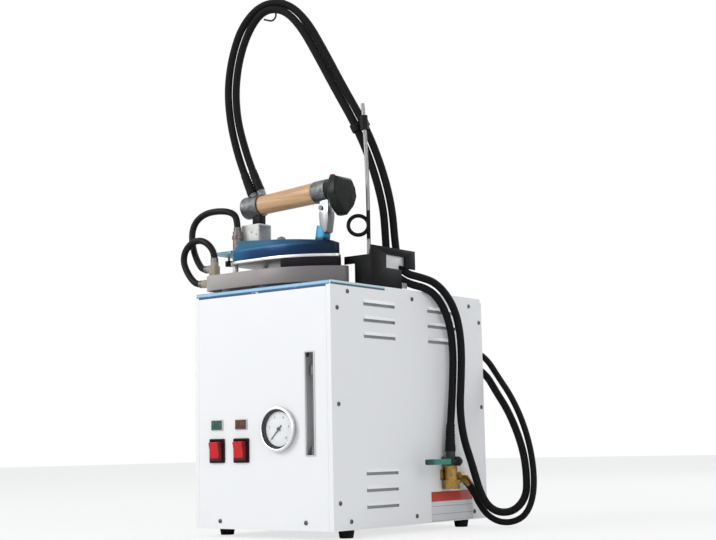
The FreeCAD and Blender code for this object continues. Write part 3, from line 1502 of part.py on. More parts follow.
def coil_point(angle):
    """Place and unit heading on the mast's one turn, which slips forward by its pitch."""
    across, along = view_axes()
    middle = V(mast_x, mast_y, mast_loop_z) - across * mast_loop_radius
    slip = mast_loop_pitch * (angle - math.sin(angle)) / (2 * math.pi)
    slip_rate = mast_loop_pitch * (1 - math.cos(angle)) / (2 * math.pi)
    place = middle + across * (mast_loop_radius * math.cos(angle)) - along * slip
    place += V(0, 0, mast_loop_radius * math.sin(angle))
    heading = across * (-mast_loop_radius * math.sin(angle)) - along * slip_rate
    heading += V(0, 0, mast_loop_radius * math.cos(angle))
    return place, heading.normalize()


def mast_lean(z):
    """Place and unit heading on the mast above its straight run, where it leans to the left."""
    across, along = view_axes()
    foot = V(mast_x, mast_y, mast_loop_z + mast_straight) - along * mast_loop_pitch
    angle = math.asin((z - foot.z) / mast_bend_radius)
    place = foot - across * (mast_bend_radius * (1 - math.cos(angle)))
    place.z = z
    return place, V(0, 0, math.cos(angle)) - across * math.sin(angle)


def least_gap(wire, radius):
    """Least distance between parts of a bent rod that are more than a quarter turn apart."""
    points = wire.discretize(Distance=radius / 3)
    apart = int(math.pi * mast_loop_radius / 2 / (radius / 3))
    least = min((p - q).Length for i, p in enumerate(points) for q in points[i + apart:])
    return least - 2 * radius


def mast_rod():
    """One unbroken rod: straight leg, one turn, straight run and a gentle lean."""
    start = V(mast_x, mast_y, lid_z + frame_sheet)
    quarters = [coil_point(math.pi * step / 2) for step in range(5)]
    edges = [Part.LineSegment(start, quarters[0][0]).toShape()]
    for (a, a_heading), (b, b_heading) in zip(quarters, quarters[1:]):
        edges += biarc(a, a_heading, b, b_heading)
    foot, _ = mast_lean(mast_loop_z + mast_straight)
    edges.append(Part.LineSegment(quarters[-1][0], foot).toShape())
    middle, _ = mast_lean((foot.z + mast_top_z) / 2)
    end, _ = mast_lean(mast_top_z)
    edges.append(arc(foot, middle, end))
    rod_shape = swept(edges, 2 * mast_radius)
    length = sum(edge.Length for edge in edges)
    gap = least_gap(Part.Wire(edges), mast_radius)
    ratio = rod_shape.Volume / (math.pi * mast_radius ** 2 * length)
    print(f"mast_rod: {length:.0f} mm long, least gap to itself {gap:.2f} mm,",
          f"volume over section times length {ratio:.4f}")
    return rod_shape


def hose_pass(points, corner):
    """Middle and unit heading of a hose where it rounds one of its route's points."""
    index = points.index(corner)
    before, here, after = [V(*p) for p in points[index - 1:index + 2]]
    run_in, run_out = here - before, after - here
    setback = arc_share * min(run_in.Length, run_out.Length)
    turn = run_in.getAngle(run_out)
    run_in.normalize()
    run_out.normalize()
    bisector = run_out - run_in
    bisector.normalize()
    radius = setback / math.tan(turn / 2)
    heading = run_in + run_out
    return here + bisector * (radius / math.cos(turn / 2) - radius), heading.normalize()


def between(start, end, radius):
    return rod(start, end - start, radius, (end - start).Length)


def mast_clip():
    """Collar on the mast, a link to the two bands round the hoses, and the lug of the spring wire."""
    place, heading = mast_lean(clip_z)
    collar = rod(place - heading * (clip_height / 2), heading, clip_radius, clip_height)
    bores = [rod(place - heading * clip_height, heading, mast_radius + seat_gap, 2 * clip_height)]
    hose, hose_heading = hose_pass(steam_hose_route, clip_hose_point)
    cable, cable_heading = hose_pass(iron_cable_route, clip_cable_point)
    bore_radius = hose_diameter / 2 + clip_gap
    bands = []
    for middle, along in ((hose, hose_heading), (cable, cable_heading)):
        bands.append(rod(middle - along * (clip_band / 2), along, bore_radius + clip_wall, clip_band))
        bores.append(rod(middle - along * clip_band, along, bore_radius, 2 * clip_band))
    wire_start = V(*wire_route[0])
    wire_heading = (V(*wire_route[1]) - wire_start).normalize()
    lug_end = wire_start - wire_heading * clip_lug_length
    lug = between(lug_end, wire_start, clip_lug_radius)
    links = [between(place, (hose + cable) * 0.5, clip_link_radius),
             between(hose, (lug_end + wire_start) * 0.5, clip_link_radius)]
    return joined(collar, *bands, *links, lug).cut(bores)


def mast_wire():
    edges, _, _ = rounded_route(wire_route)
    return swept(edges, 2 * wire_radius)


# All pieces
def save_cabinet():
    save("base_pan", base_pan())
    save("front_panel", front_panel())
    save("right_panel", side_panel(1))
    save("left_panel", side_panel(-1))
    save("rear_panel", rear_panel())
    save("top_cover", top_cover())
    save("rubber_feet", *[rubber_foot(x, y) for x, y in foot_places()])
    save("panel_screws", *panel_screws())
    save("boiler_tank", boiler_tank())
    save("boiler_stand", boiler_stand())
    save("heating_element", heating_element())
    save("pressure_switch", pressure_switch())
    save("safety_valve", safety_valve())
    save("solenoid_valve", solenoid_valve())
    save("filler_neck", filler_neck())
    save("filler_cap", filler_cap())
    save("steam_outlet", steam_outlet())
    save("cable_glands", *cable_glands())
    save("ball_valve", ball_valve())
    save("valve_lever", valve_lever())
    save("side_plate", side_plate())


def save_front():
    save("sight_glass", sight_glass())
    save("glass_fittings", glass_fitting(glass_low_z), glass_fitting(glass_high_z))
    save("window_trim", window_trim_frame())
    save("gauge_case", gauge_case())
    save("gauge_dial", gauge_dial())
    save("gauge_needle", gauge_needle())
    save("gauge_lens", gauge_lens())
    save("gauge_pipe", boiler_pipe(gauge_x, gauge_z, gauge_case_depth - half_depth, gauge_pipe_radius))
    save("left_switch_housing", switch_housing(switch_x_left))
    save("right_switch_housing", switch_housing(switch_x_right))
    save("left_rocker", rocker(switch_x_left))
    save("right_rocker", rocker(switch_x_right))
    save("pilot_lamps", *pilot_lamp(switch_x_left), *pilot_lamp(switch_x_right))


def save_rest_and_iron():
    tray = save("rest_tray", rest_tray())
    save("rest_pads", *rest_pads())
    save("tube_fitting", *tube_fitting(tray))
    save("sole_plate", sole_plate())
    cover = save("sole_cover", sole_cover())
    save("rear_bracket", rear_bracket(cover))
    save("handle_block", handle_block())
    save("wooden_handle", wooden_handle())
    save("rear_cap", rear_cap())
    save("front_ferrule", front_ferrule())
    save("hand_guard", hand_guard())
    save("steam_button", steam_button())
    save("front_bracket", front_bracket(cover))
    save("tube_inlet", tube_inlet(cover))
    save("iron_screws", *iron_screws(cover))


def save_mast_and_hoses():
    save("hose_bracket", hose_bracket())
    save("clamp_plate", clamp_plate())
    save("mast_socket", mast_socket())
    save("mast_rod", mast_rod())
    save("mast_clip", mast_clip())
    save("mast_wire", mast_wire())
    cord("steam_hose", steam_hose_route, hose_diameter)
    cord("iron_cable", iron_cable_route, hose_diameter)
    cord("supply_hose", supply_hose_route, supply_diameter)
    cord("iron_tube", iron_tube_route, tube_diameter)
    cord("rest_tube", rest_tube_route, tube_diameter)


os.makedirs("parts", exist_ok=True)
save_cabinet()
save_front()
save_rest_and_iron()
save_mast_and_hoses()
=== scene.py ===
# %% [markdown]
# # A steam iron station, dressed
# The machine is a floor cabinet with a boiler, and a wooden-handled iron on a rest on its lid.
# The imported solids fix every size and place. This script puts finishes and finer pieces on them,
# so it starts by loading them and keeping them together with their record.

import json
import math

import bmesh
import bpy
from mathutils import Matrix, Vector


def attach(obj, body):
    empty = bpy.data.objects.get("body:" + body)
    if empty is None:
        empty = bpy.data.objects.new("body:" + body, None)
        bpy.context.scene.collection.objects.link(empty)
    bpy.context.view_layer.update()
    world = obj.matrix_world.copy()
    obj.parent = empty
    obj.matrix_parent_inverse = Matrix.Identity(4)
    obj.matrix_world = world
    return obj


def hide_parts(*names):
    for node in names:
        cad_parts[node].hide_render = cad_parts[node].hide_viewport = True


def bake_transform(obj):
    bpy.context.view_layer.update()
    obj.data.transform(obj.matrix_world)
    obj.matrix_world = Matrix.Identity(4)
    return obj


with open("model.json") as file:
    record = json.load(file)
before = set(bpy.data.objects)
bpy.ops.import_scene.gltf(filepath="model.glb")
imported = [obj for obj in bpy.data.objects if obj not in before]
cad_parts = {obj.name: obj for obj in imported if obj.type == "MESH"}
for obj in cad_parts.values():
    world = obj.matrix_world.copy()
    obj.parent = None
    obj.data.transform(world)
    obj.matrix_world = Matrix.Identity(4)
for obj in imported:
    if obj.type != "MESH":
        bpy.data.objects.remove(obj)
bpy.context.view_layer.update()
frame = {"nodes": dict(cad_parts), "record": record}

slots = {name: solid.data.materials[0].name for name, solid in frame["nodes"].items()}
bodies = {name: body for body, names in frame["record"]["behaviour"]["bodies"].items() for name in names}

# %% [markdown]
# ## Places
# The part's own source gives places in millimetres from the middle of the cabinet's footprint, and
# the machine then stands a little to the side of that. One helper turns such a place into metres here,
# and another puts a new object into the scene.
# Names of sizes are shared by the cells below, so that a piece and what carries it stay together.

# %% Millimetres from the cabinet's middle
mm = 0.001
cabinet_place = Vector((-0.011, -0.010, 0))
half_width, half_depth = 135.0, 197.5
front_y = -half_depth
top_z, lid_z = 362.0, 368.0
switches_x, switches_z = (-88.4, -39.0), 127.5
iron_y = -110.0


def at(x, y, z):
    return Vector((x, y, z)) * mm + cabinet_place


def new_object(name, data):
    piece = bpy.data.objects.new(name, data)
    bpy.context.scene.collection.objects.link(piece)
    return piece


print("front wall at", at(0, front_y, 0))

# %% [markdown]
# ## Camera
# The photograph is taken from the right of the front and from low down, with a long lens.
# The angles were solved from the cabinet's edges, so the camera is placed by numbers and never nudged:
# its three axes are worked out from the turn, the tilt and the small roll.

# %% The camera at the photograph's place
turn, tilt, roll = math.radians(37.943), math.radians(7.4646), math.radians(-1.1262)
eye = Vector((1.35519, -1.72054, 0.12508))
lens_length, film_width = 69.01, 36.0
nearest, furthest = 0.05, 60

forward = Vector((-math.sin(turn) * math.cos(tilt), math.cos(turn) * math.cos(tilt), math.sin(tilt)))
level = Vector((math.cos(turn), math.sin(turn), 0))
above = level.cross(forward)
right = level * math.cos(roll) + above * math.sin(roll)
upward = above * math.cos(roll) - level * math.sin(roll)

camera_data = bpy.data.cameras.new("camera")
camera_data.lens, camera_data.sensor_width = lens_length, film_width
camera_data.clip_start, camera_data.clip_end = nearest, furthest
camera = new_object("camera", camera_data)
camera.matrix_world = Matrix.Translation(eye) @ Matrix((right, upward, -forward)).transposed().to_4x4()
bpy.context.scene.camera = camera
print("camera looks along", [round(v, 3) for v in forward])

# %% [markdown]
# ## Floor, sky and lamps
# A seller's picture like this one has a white ground and soft light from the front left.
# The floor is a wide pale plane that keeps the shadow. The sky is pure white where it is looked at,
# mirrored or seen through, and dimmer where it only lights the white cabinet. Both are made of a few
# nodes, so two helpers come first: one adds a node, the other feeds its first sockets.

# %% Helpers for nodes and for picking a piece


def node(tree, kind, **values):
    """A shader node with its settings and plain inputs."""
    made = tree.nodes.new("ShaderNode" + kind)
    for key, value in values.items():
        if hasattr(made, key):
            setattr(made, key, value)
        else:
            made.inputs[key.replace("_", " ")].default_value = value
    return made


def fed(tree, made, *sources):
    """Feeds sockets or plain values into a node's first inputs and gives its first output."""
    for socket, source in zip(made.inputs, sources):
        if isinstance(source, bpy.types.NodeSocket):
            tree.links.new(source, socket)
        else:
            socket.default_value = source
    return made.outputs[0]


def alone():
    bpy.ops.object.select_all(action="DESELECT")


def take(piece):
    """Makes one piece the selected and active one."""
    alone()
    piece.select_set(True)
    bpy.context.view_layer.objects.active = piece
    return piece


print("helpers for nodes are ready")

# %% The floor
floor_width, floor_drop = 24, 0.0005
floor_glow_share = 0.72
alone()
bpy.ops.mesh.primitive_plane_add(size=floor_width, location=(0, 0, -floor_drop))
floor = bpy.context.object
floor.name = "floor"

floor_paint = bpy.data.materials.new("floor_paint")
floor_paint.use_nodes = True
tree = floor_paint.node_tree
paint = tree.nodes["Principled BSDF"]
paint.inputs["Base Color"].default_value = (0.9, 0.9, 0.9, 1)
paint.inputs["Roughness"].default_value = 0.75
glow = node(tree, "Emission", Strength=1.0)
looked_at = node(tree, "LightPath").outputs["Is Camera Ray"]
share = fed(tree, node(tree, "Math", operation="MULTIPLY"), looked_at, floor_glow_share)
mixed = fed(tree, node(tree, "MixShader"), share, paint.outputs[0], glow.outputs[0])
tree.links.new(mixed, tree.nodes["Material Output"].inputs["Surface"])
floor.data.materials.append(floor_paint)
print("floor", floor.dimensions[0], "m wide")

# %% The sky
world = bpy.data.worlds.new("sky")
bpy.context.scene.world = world
world.use_nodes = True
tree = world.node_tree
sky = tree.nodes["Background"]
sky.inputs["Color"].default_value = (0.93, 0.96, 1.0, 1)
sky.inputs["Strength"].default_value = 0.5
white_sky = node(tree, "Background", Color=(1, 1, 1, 1), Strength=1.0)
rays = node(tree, "LightPath").outputs
seen = fed(tree, node(tree, "Math", operation="MAXIMUM"), rays["Is Camera Ray"], rays["Is Glossy Ray"])
seen = fed(tree, node(tree, "Math", operation="MAXIMUM"), seen, rays["Is Transmission Ray"])
mixed = fed(tree, node(tree, "MixShader"), seen, sky.outputs[0], white_sky.outputs[0])
tree.links.new(mixed, tree.nodes["World Output"].inputs["Surface"])

bpy.context.scene.view_settings.view_transform = "Standard"
print("sky strength", sky.inputs["Strength"].default_value)

# %% The lamps


def lamp(name, place, aim, size, power):
    """Square soft lamp that looks at a point."""
    data = bpy.data.lights.new(name, "AREA")
    data.size, data.energy = size, power
    piece = new_object(name, data)
    piece.location = place
    piece.rotation_euler = (Vector(aim) - Vector(place)).to_track_quat("-Z", "Y").to_euler()


lamp("window_left", place=(-1.5, -3.0, 1.9), aim=(0, 0, 0.35), size=1.8, power=62)
lamp("fill_right", place=(3.4, -1.2, 1.7), aim=(0, 0, 0.3), size=2.2, power=27)
lamp("rim_behind", place=(0.5, 3.2, 2.4), aim=(0, 0, 0.4), size=2.0, power=30)

# %% [markdown]
# ## Hoses and tubes
# Five cords join the pieces: two black hoses that rise together over the mast's clip and drop to the
# iron, one that loops low behind the cabinet, and two thin tubes at the rest's rear corner.
# A hose could be a bevelled curve, but its woven jacket has to follow its length, so each is a tube of
# rings laid on the points of one smooth spline, with a map that runs round and along it.

# %% Routes, in millimetres from the cabinet's middle
routes = {
    "steam_hose": [
        (148, 77, 120), (148, 77, 146), (148, 83, 184), (147, 90, 226), (147, 94, 272), (148, 87, 316),
        (148, 66, 350), (144, 38, 372), (120.5, 7, 380.8), (108.5, -12, 398), (105.5, -21.5, 421),
        (107, -24.5, 452), (108.5, -31, 500), (103, -49, 561), (89, -69, 621), (57, -80, 684),
        (25, -88, 748), (0, -97, 797), (-30, -103, 828), (-66, -109, 832), (-96, -110, 806),
        (-115, -113, 762), (-123, -115, 710), (-119, -115, 658), (-106, -112, 609), (-91, -110, 569),
        (-78, -107, 537),
    ],
    "iron_cable": [
        (86, 219, 258), (107, 219, 258), (129, 218.5, 243), (148, 217, 214), (168, 214, 188),
        (187, 210, 154), (204, 203, 116), (212.5, 196, 80), (212, 194, 46), (199, 176, 23),
        (180.5, 150, 23), (168, 131.5, 46), (163, 114, 100), (160.5, 96, 140), (158.5, 91, 184),
        (158.5, 97, 230), (159, 100.5, 280), (159.5, 92.5, 325), (158.5, 72, 358), (152, 44, 382),
        (138, 20.5, 390), (124, 3, 395), (117.8, -8.5, 412), (117.5, -14, 440), (118.5, -22, 502),
        (113, -41, 565), (99, -63, 627), (67, -74, 690), (35, -81, 754), (8, -90, 806), (-27, -98, 840),
        (-72, -107, 844), (-106, -116, 813), (-125, -120, 766), (-133, -123, 711), (-129, -122, 656),
        (-116.5, -120, 605), (-102.5, -117, 564), (-89.5, -114, 532),
    ],
    "supply_hose": [
        (86, 219, 285), (107, 219, 285), (130, 219.5, 270), (152, 219, 238), (175, 217, 208),
        (196, 214, 170), (213, 208, 128), (224, 200, 84), (226, 192, 46), (215, 186, 18), (198, 176, 7),
        (180, 163, 7), (164, 153, 18), (152, 146, 38), (148, 138, 58), (148, 124, 70),
    ],
    "iron_tube": [
        (-141, -160, 412), (-153, -160, 412), (-168, -155, 423), (-182, -150.5, 441), (-190.5, -148, 463),
        (-191, -146.5, 482), (-183, -145, 497), (-164, -143.5, 506.5), (-138, -141, 508),
        (-113, -137, 503.5), (-103, -134.3, 492), (-103, -134.3, 471),
    ],
    "rest_tube": [
        (-129, -160, 422), (-129, -160, 435), (-136, -161.5, 448), (-148, -163, 457.5), (-163, -164, 460.5),
        (-178, -164.5, 456), (-189.5, -165, 445), (-193, -165, 430), (-187, -165, 415), (-176, -165, 400),
        (-162, -165, 389), (-148, -165, 389),
    ],
}
for name, points in routes.items():
    print(name, len(points), "points")

# %% One smooth line through a route


def smooth_line(points, steps=10):
    """Points, in metres, read from the spline that has the route's points as its control points."""
    curve = bpy.data.curves.new("line", "CURVE")
    curve.dimensions = "3D"
    curve.resolution_u = steps
    spline = curve.splines.new("NURBS")
    spline.points.add(len(points) - 1)
    for point, place in zip(spline.points, points):
        point.co = (*at(*place), 1)
    spline.order_u = 3
    spline.use_endpoint_u = True
    holder = new_object("line", curve)
    bpy.context.view_layer.update()
    mesh = bpy.data.meshes.new_from_object(holder)
    line = [v.co.copy() for v in mesh.vertices]
    bpy.data.objects.remove(holder)
    bpy.data.meshes.remove(mesh)
    return line


def length_of(line):
    return sum((b - a).length for a, b in zip(line, line[1:]))


lines = {name: smooth_line(points) for name, points in routes.items()}
for name, line in lines.items():
    print(name, round(length_of(line), 3), "m along", len(line), "points")

# %% A tube laid on such a line


def headings(line):
    """Unit headings along a line."""
    ends = [line[1] - line[0]] + [c - a for a, c in zip(line, line[2:])] + [line[-1] - line[-2]]
    return [e.normalized() for e in ends]


def tube(name, line, radii, sides=20):
    """Closed tube along a line, one radius to each point. Its map runs once round and in metres along."""
    form = bmesh.new()
    layer = form.loops.layers.uv.new("along")
    ways = headings(line)
    across = ways[0].orthogonal().normalized()
    rings, runs, run = [], [], 0.0
    for i, (point, way) in enumerate(zip(line, ways)):
        if i:
            run += (point - line[i - 1]).length
            across = (across - way * across.dot(way)).normalized()
        other = way.cross(across)
        ring = []
        for k in range(sides):
            angle = 2 * math.pi * k / sides
            out = across * math.cos(angle) + other * math.sin(angle)
            ring.append(form.verts.new(point + out * radii[i]))
        rings.append(ring)
        runs.append(run)
    for i, (a, b) in enumerate(zip(rings, rings[1:])):
        for k in range(sides):
            n = (k + 1) % sides
            face = form.faces.new((a[k], a[n], b[n], b[k]))
            face.smooth = True
            marks = ((k, i), (k + 1, i), (k + 1, i + 1), (k, i + 1))
            for loop, (u, v) in zip(face.loops, marks):
                loop[layer].uv = (u / sides, runs[v])
    form.faces.new(reversed(rings[0]))
    form.faces.new(rings[-1])
    mesh = bpy.data.meshes.new(name)
    form.to_mesh(mesh)
    form.free()
    return new_object(name, mesh)


hose_radius = {"steam_hose": 6.0, "iron_cable": 6.0, "supply_hose": 5.0, "iron_tube": 5.25, "rest_tube": 5.25}
cords = {}
for name, line in lines.items():
    cords[name] = tube(name + "_jacket", line, [hose_radius[name] * mm] * len(line))
    print(name, len(cords[name].data.polygons), "faces")

# %% [markdown]
# The iron is lifted off its rest while everything else stays. Here the two hoses and the thin tube that
# end in the iron only have their place put into their mesh, and the supply hose and the rest's tube ride
# with the cabinet. The cords' own solids are hidden.

# %% The cords put in place
for name in ("steam_hose", "iron_cable"):
    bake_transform(cords[name])
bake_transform(cords["iron_tube"])
for name in ("supply_hose", "rest_tube"):
    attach(cords[name], "cabinet")
for name, piece in cords.items():
    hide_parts(name)
print("cords:", len(cords))

# %% [markdown]
# ## Finishes
# Every finish is worked out from noise and waves on the piece's own place, so nothing is a picture.
# A finish has three layers, as on the real surface: a colour that drifts a little, a gloss that is
# uneven where hands and cloths have been, and a fine relief. Each layer is one helper of the finish.

# %% A finish and what feeds it
finishes = {}
nothing, full = (0, 0, 0), (1, 1, 1)


class Finish:
    """A material with its shader, and the noises, ramps and zones that feed it."""

    def __init__(self, name, **settings):
        material = bpy.data.materials.new(name)
        material.use_nodes = True
        self.tree = material.node_tree
        self.inputs = self.tree.nodes["Principled BSDF"].inputs
        for socket, value in settings.items():
            self.inputs[socket.replace("_", " ")].default_value = value
        finishes[name] = material

    def set(self, socket, source):
        self.tree.links.new(source, self.inputs[socket])

    def place(self, scale=(1, 1, 1), turned=(0, 0, 0), moved=(0, 0, 0), along=False):
        """The surface's own place, in metres, or its map round and along it."""
        source = node(self.tree, "TexCoord").outputs["UV" if along else "Object"]
        return fed(self.tree, node(self.tree, "Mapping"), source, moved, turned, scale)

    def cloud(self, scale, detail=3.0, roughness=0.5, distortion=0.0, place=None):
        made = node(self.tree, "TexNoise", Scale=scale, Detail=detail, Roughness=roughness,
                    Distortion=distortion)
        self.tree.links.new(self.place() if place is None else place, made.inputs["Vector"])
        return made.outputs["Fac"]

    def ramp(self, value, *stops):
        """Colours at their places along a value from 0 to 1."""
        made = node(self.tree, "ValToRGB")
        band = made.color_ramp
        while len(band.elements) < len(stops):
            band.elements.new(0.5)
        for element, (where, colour) in zip(band.elements, stops):
            element.position = where
            element.color = (*colour, 1)
        return fed(self.tree, made, value)

    def patches(self, noise, start, end, strength=1.0):
        """From 0 to a strength as a noise goes from start to end."""
        return self.ramp(noise, (start, nothing), (end, (strength,) * 3))

    def between(self, value, low, high, start=0.0, end=1.0):
        """A value carried from one span to another."""
        return fed(self.tree, node(self.tree, "MapRange"), value, start, end, low, high)

    def math(self, operation, *values):
        return fed(self.tree, node(self.tree, "Math", operation=operation), *values)

    def mix(self, share, first, second):
        """Two colours mixed. Each of the three is a socket or a plain value."""
        made = node(self.tree, "Mix", data_type="RGBA")
        for k, value in zip((0, 6, 7), (share, first, second)):
            if isinstance(value, bpy.types.NodeSocket):
                self.tree.links.new(value, made.inputs[k])
            else:
                made.inputs[k].default_value = (*value, 1) if isinstance(value, tuple) else value
        return made.outputs[2]

    def paint(self, colour):
        self.set("Base Color", colour)

    def over(self, share, colour):
        """Lays a colour over the one that is there."""
        self.paint(self.mix(share, self.inputs["Base Color"].links[0].from_socket, colour))

    def gloss(self, noise, low, high):
        """Roughness between two values, as a noise goes."""
        self.set("Roughness", self.between(noise, low, high, 0.3, 0.7))

    def relief(self, height, strength, depth, under=None):
        """Fine relief from a height, on top of an earlier one."""
        made = node(self.tree, "Bump", Strength=strength, Distance=depth)
        self.tree.links.new(height, made.inputs["Height"])
        if under is not None:
            self.tree.links.new(under, made.inputs["Normal"])
        self.set("Normal", made.outputs["Normal"])
        return made.outputs["Normal"]

    def reach(self, axis, low, high):
        """0 to 1 between two places along an axis, in millimetres from the cabinet's middle."""
        parts = node(self.tree, "SeparateXYZ")
        fed(self.tree, parts, node(self.tree, "TexCoord").outputs["Object"])
        offset = {"X": cabinet_place.x, "Y": cabinet_place.y, "Z": 0.0}[axis]
        return self.between(parts.outputs[axis], 0, 1, low * mm + offset, high * mm + offset)

    def past(self, axis, edge, soft=0.3):
        """1 past a place along an axis and 0 before it."""
        return self.reach(axis, edge - soft, edge + soft)

    def short_of(self, axis, edge, soft=0.3):
        return self.between(self.past(axis, edge, soft), 1, 0)

    def zone(self, *spans):
        """1 inside all spans (axis, from, to and perhaps how soft), where None leaves a side open."""
        inside = None
        for axis, low, high, *soft in spans:
            for edge, limit in ((low, self.past), (high, self.short_of)):
                if edge is not None:
                    part = limit(axis, edge, *soft)
                    inside = part if inside is None else self.math("MULTIPLY", inside, part)
        return inside


print("a finish can be made")

# %% [markdown]
# ### Enamel
# The cabinet is sheet steel with baked enamel: almost even in colour, with the faint orange-peel of
# sprayed paint and a few dull spots. One recipe serves all painted pieces, and only its colours, gloss
# and grain change. The front sheet also has a ragged dark navy line of painted shade under the lid, and
# the iron's rest is painted lighter and warmer towards its rear end and darker towards its nose, as light
# and shade along it.

# %% Painted sheet
white = (0.86, 0.865, 0.87)


def enamel(name, colour, shade, gloss=0.35, peel=900.0, depth=0.00004, grime=(0.35, 0.33, 0.30), dirt=0.05,
           uneven=0.08, **more):
    coat = Finish(name, **more)
    coat.paint(coat.ramp(coat.cloud(9, 4), (0.35, shade), (0.65, colour)))
    spots = coat.patches(coat.cloud(55, 6, 0.7), 0.60, 0.78)
    coat.over(coat.math("MULTIPLY", spots, dirt), grime)
    coat.gloss(coat.cloud(30, 5), gloss + 0.02 - uneven, gloss + 0.02 + uneven)
    coat.relief(coat.cloud(peel, 2), 0.35, depth)
    return coat


clean_white = {"colour": white, "shade": (0.853, 0.859, 0.864), "gloss": 0.32, "dirt": 0.003, "uneven": 0.03}
enamel("white_enamel", **clean_white)
film_foot = 359.4
front = enamel("front_enamel", **clean_white)
# Painted shade: a ragged dark navy line along the top of the front sheet, just under the lid.
shade_under_lid = front.between(front.cloud(45, 4, 0.6), 0.45, 1, 0.36, 0.44)
front.over(front.math("MULTIPLY", front.past("Z", film_foot, 0.2), shade_under_lid), (0.012, 0.055, 0.15))

enamel("inside_enamel", (0.36, 0.365, 0.37), (0.30, 0.305, 0.31), 0.5, dirt=0.15)
enamel("channel_enamel", (0.55, 0.55, 0.55), (0.50, 0.50, 0.50), 0.5, dirt=0.1)
enamel("bracket_enamel", (0.009, 0.0095, 0.010), (0.005, 0.005, 0.006), 0.46, 700, 0.00008,
       grime=(0.05, 0.045, 0.04), dirt=0.12, Specular_IOR_Level=0.10)
enamel("cream_enamel", (0.78, 0.76, 0.73), (0.70, 0.68, 0.65), 0.4, 800, dirt=0.12)

tray_rear, tray_front = -143, 98
tray = enamel("tray_enamel", (0.25, 0.235, 0.22), (0.19, 0.18, 0.17), 0.42, 600, 0.0001, dirt=0.12)
# Painted light and shade along the rest: pale and warm at its rear, almost black at its nose.
tray_light_and_shade = tray.ramp(tray.reach("X", tray_rear, tray_front), (0.0, (0.46, 0.43, 0.395)),
                        (0.45, (0.33, 0.295, 0.285)), (0.80, (0.15, 0.135, 0.14)),
                        (1.0, (0.10, 0.092, 0.098)))
tray.over(0.75, tray_light_and_shade)
print("painted finishes:", len(finishes))

# %% [markdown]
# ### The blue lid and the blue cover
# The lid is white, with a torn strip of blue film along its front. Its edge is light blue, with painted
# shade as dark navy lines at its foot, where it meets the walls, and at its top; on the right side the
# edge's lower part is painted dark. The iron's cover is a deep blue metallic paint that shifts to teal at
# the tail; it is painted darker towards the nose as shade, and lighter on its crown as painted highlights.
# All of this follows the piece's height or length, so it is ramps and zones over its own place.

# %% The lid
film = (0.33, 0.58, 0.78)
film_front, film_back = -196, -160
blue_side_end = -67
fold = 1.0

lid = Finish("lid_enamel", Coat_Weight=0.3, Coat_Roughness=0.15)
torn = lid.math("LESS_THAN", lid.reach("Y", film_front, film_back),
                lid.cloud(34, 5, 0.65, place=lid.place((1, 0.4, 1))))
lid.paint(lid.mix(lid.math("MULTIPLY", torn, lid.past("Z", lid_z - 0.3)), white, film))
# Painted shade on the lid's edge: dark navy at its foot, where it meets the walls, and at its top, under the
# rest. On the right side the lower part of the edge is dark teal.
rise = lid.reach("Z", top_z, lid_z)
front_edge_with_shade = lid.ramp(rise, (0.0, (0.010, 0.045, 0.12)), (0.16, (0.02, 0.09, 0.20)),
                       (0.30, (0.24, 0.50, 0.72)), (0.72, film), (0.90, (0.20, 0.42, 0.62)),
                       (0.98, (0.03, 0.12, 0.24)))
side_edge_with_shade = lid.ramp(rise, (0.0, (0.012, 0.05, 0.07)), (0.42, (0.02, 0.09, 0.12)),
                      (0.56, (0.42, 0.66, 0.74)), (0.85, (0.60, 0.76, 0.80)))
right_edge = ("X", half_width - fold, None)
bands = lid.mix(lid.zone(right_edge, ("Y", front_y + fold, None)), front_edge_with_shade, side_edge_with_shade)
bands = lid.mix(lid.patches(lid.cloud(70, 6, 0.7), 0.55, 0.75, 0.35), bands, (0.45, 0.62, 0.75))
blue_side = lid.zone(right_edge, ("Y", None, blue_side_end))
lid.over(lid.math("MAXIMUM", lid.zone(("Y", None, front_y + fold)), blue_side), bands)
lid.gloss(lid.cloud(40, 4), 0.25, 0.42)
lid.relief(lid.cloud(800, 2), 0.3, 0.00005)
print("the lid's film ends at", film_back, "mm")

# %% The iron's cover
cover_rear, cover_front = -112, 84
tail_start, tail_end = -112.5, -116
pedestal_rear, pedestal_front = 39.5, 62

cover = Finish("cover_blue_paint", Metallic=0.2, Coat_Weight=0.10, Coat_Roughness=0.15,
               Specular_IOR_Level=0.14)
# Partly the paint's own deep blue, partly painted shade: teal at the tail, going almost black at the nose.
cover.paint(cover.ramp(
    cover.reach("X", cover_rear, cover_front), (0.0, (0.045, 0.20, 0.30)), (0.12, (0.018, 0.11, 0.22)),
    (0.30, (0.003, 0.038, 0.11)), (0.62, (0.001, 0.022, 0.080)), (0.84, (0.001, 0.010, 0.035)),
    (1.0, (0.002, 0.004, 0.009))))
cover.over(cover.patches(cover.cloud(1500, 2), 0.45, 0.62, 0.25), (0.010, 0.07, 0.18))
# The first two rows are painted highlights on the crown and its upper edge; the others paint the tail, the
# pedestal and the heel.
for colour, *spans in (
    ((0.025, 0.13, 0.22), ("Z", 438, None, 4), ("X", None, 25, 45)),
    ((0.02, 0.14, 0.30), ("Z", 434.6, None, 1.2), ("Z", None, 438.6, 1.6), ("X", None, 20, 40)),
    ((0.27, 0.56, 0.62), ("X", None, tail_start)),
    ((0.035, 0.24, 0.40), ("Z", 447, None, 1.5), ("X", pedestal_rear, pedestal_front)),
    ((0.35, 0.35, 0.35), ("X", None, tail_end), ("Z", None, 436.5)),
    ((0.008, 0.008, 0.009), ("X", None, tail_end), ("Z", None, 430.4, 0.1)),
):
    cover.over(cover.zone(*spans), colour)
cover.gloss(cover.cloud(60, 5), 0.26, 0.44)
cover.relief(cover.cloud(500, 3), 0.25, 0.00006)
print("blues ready")

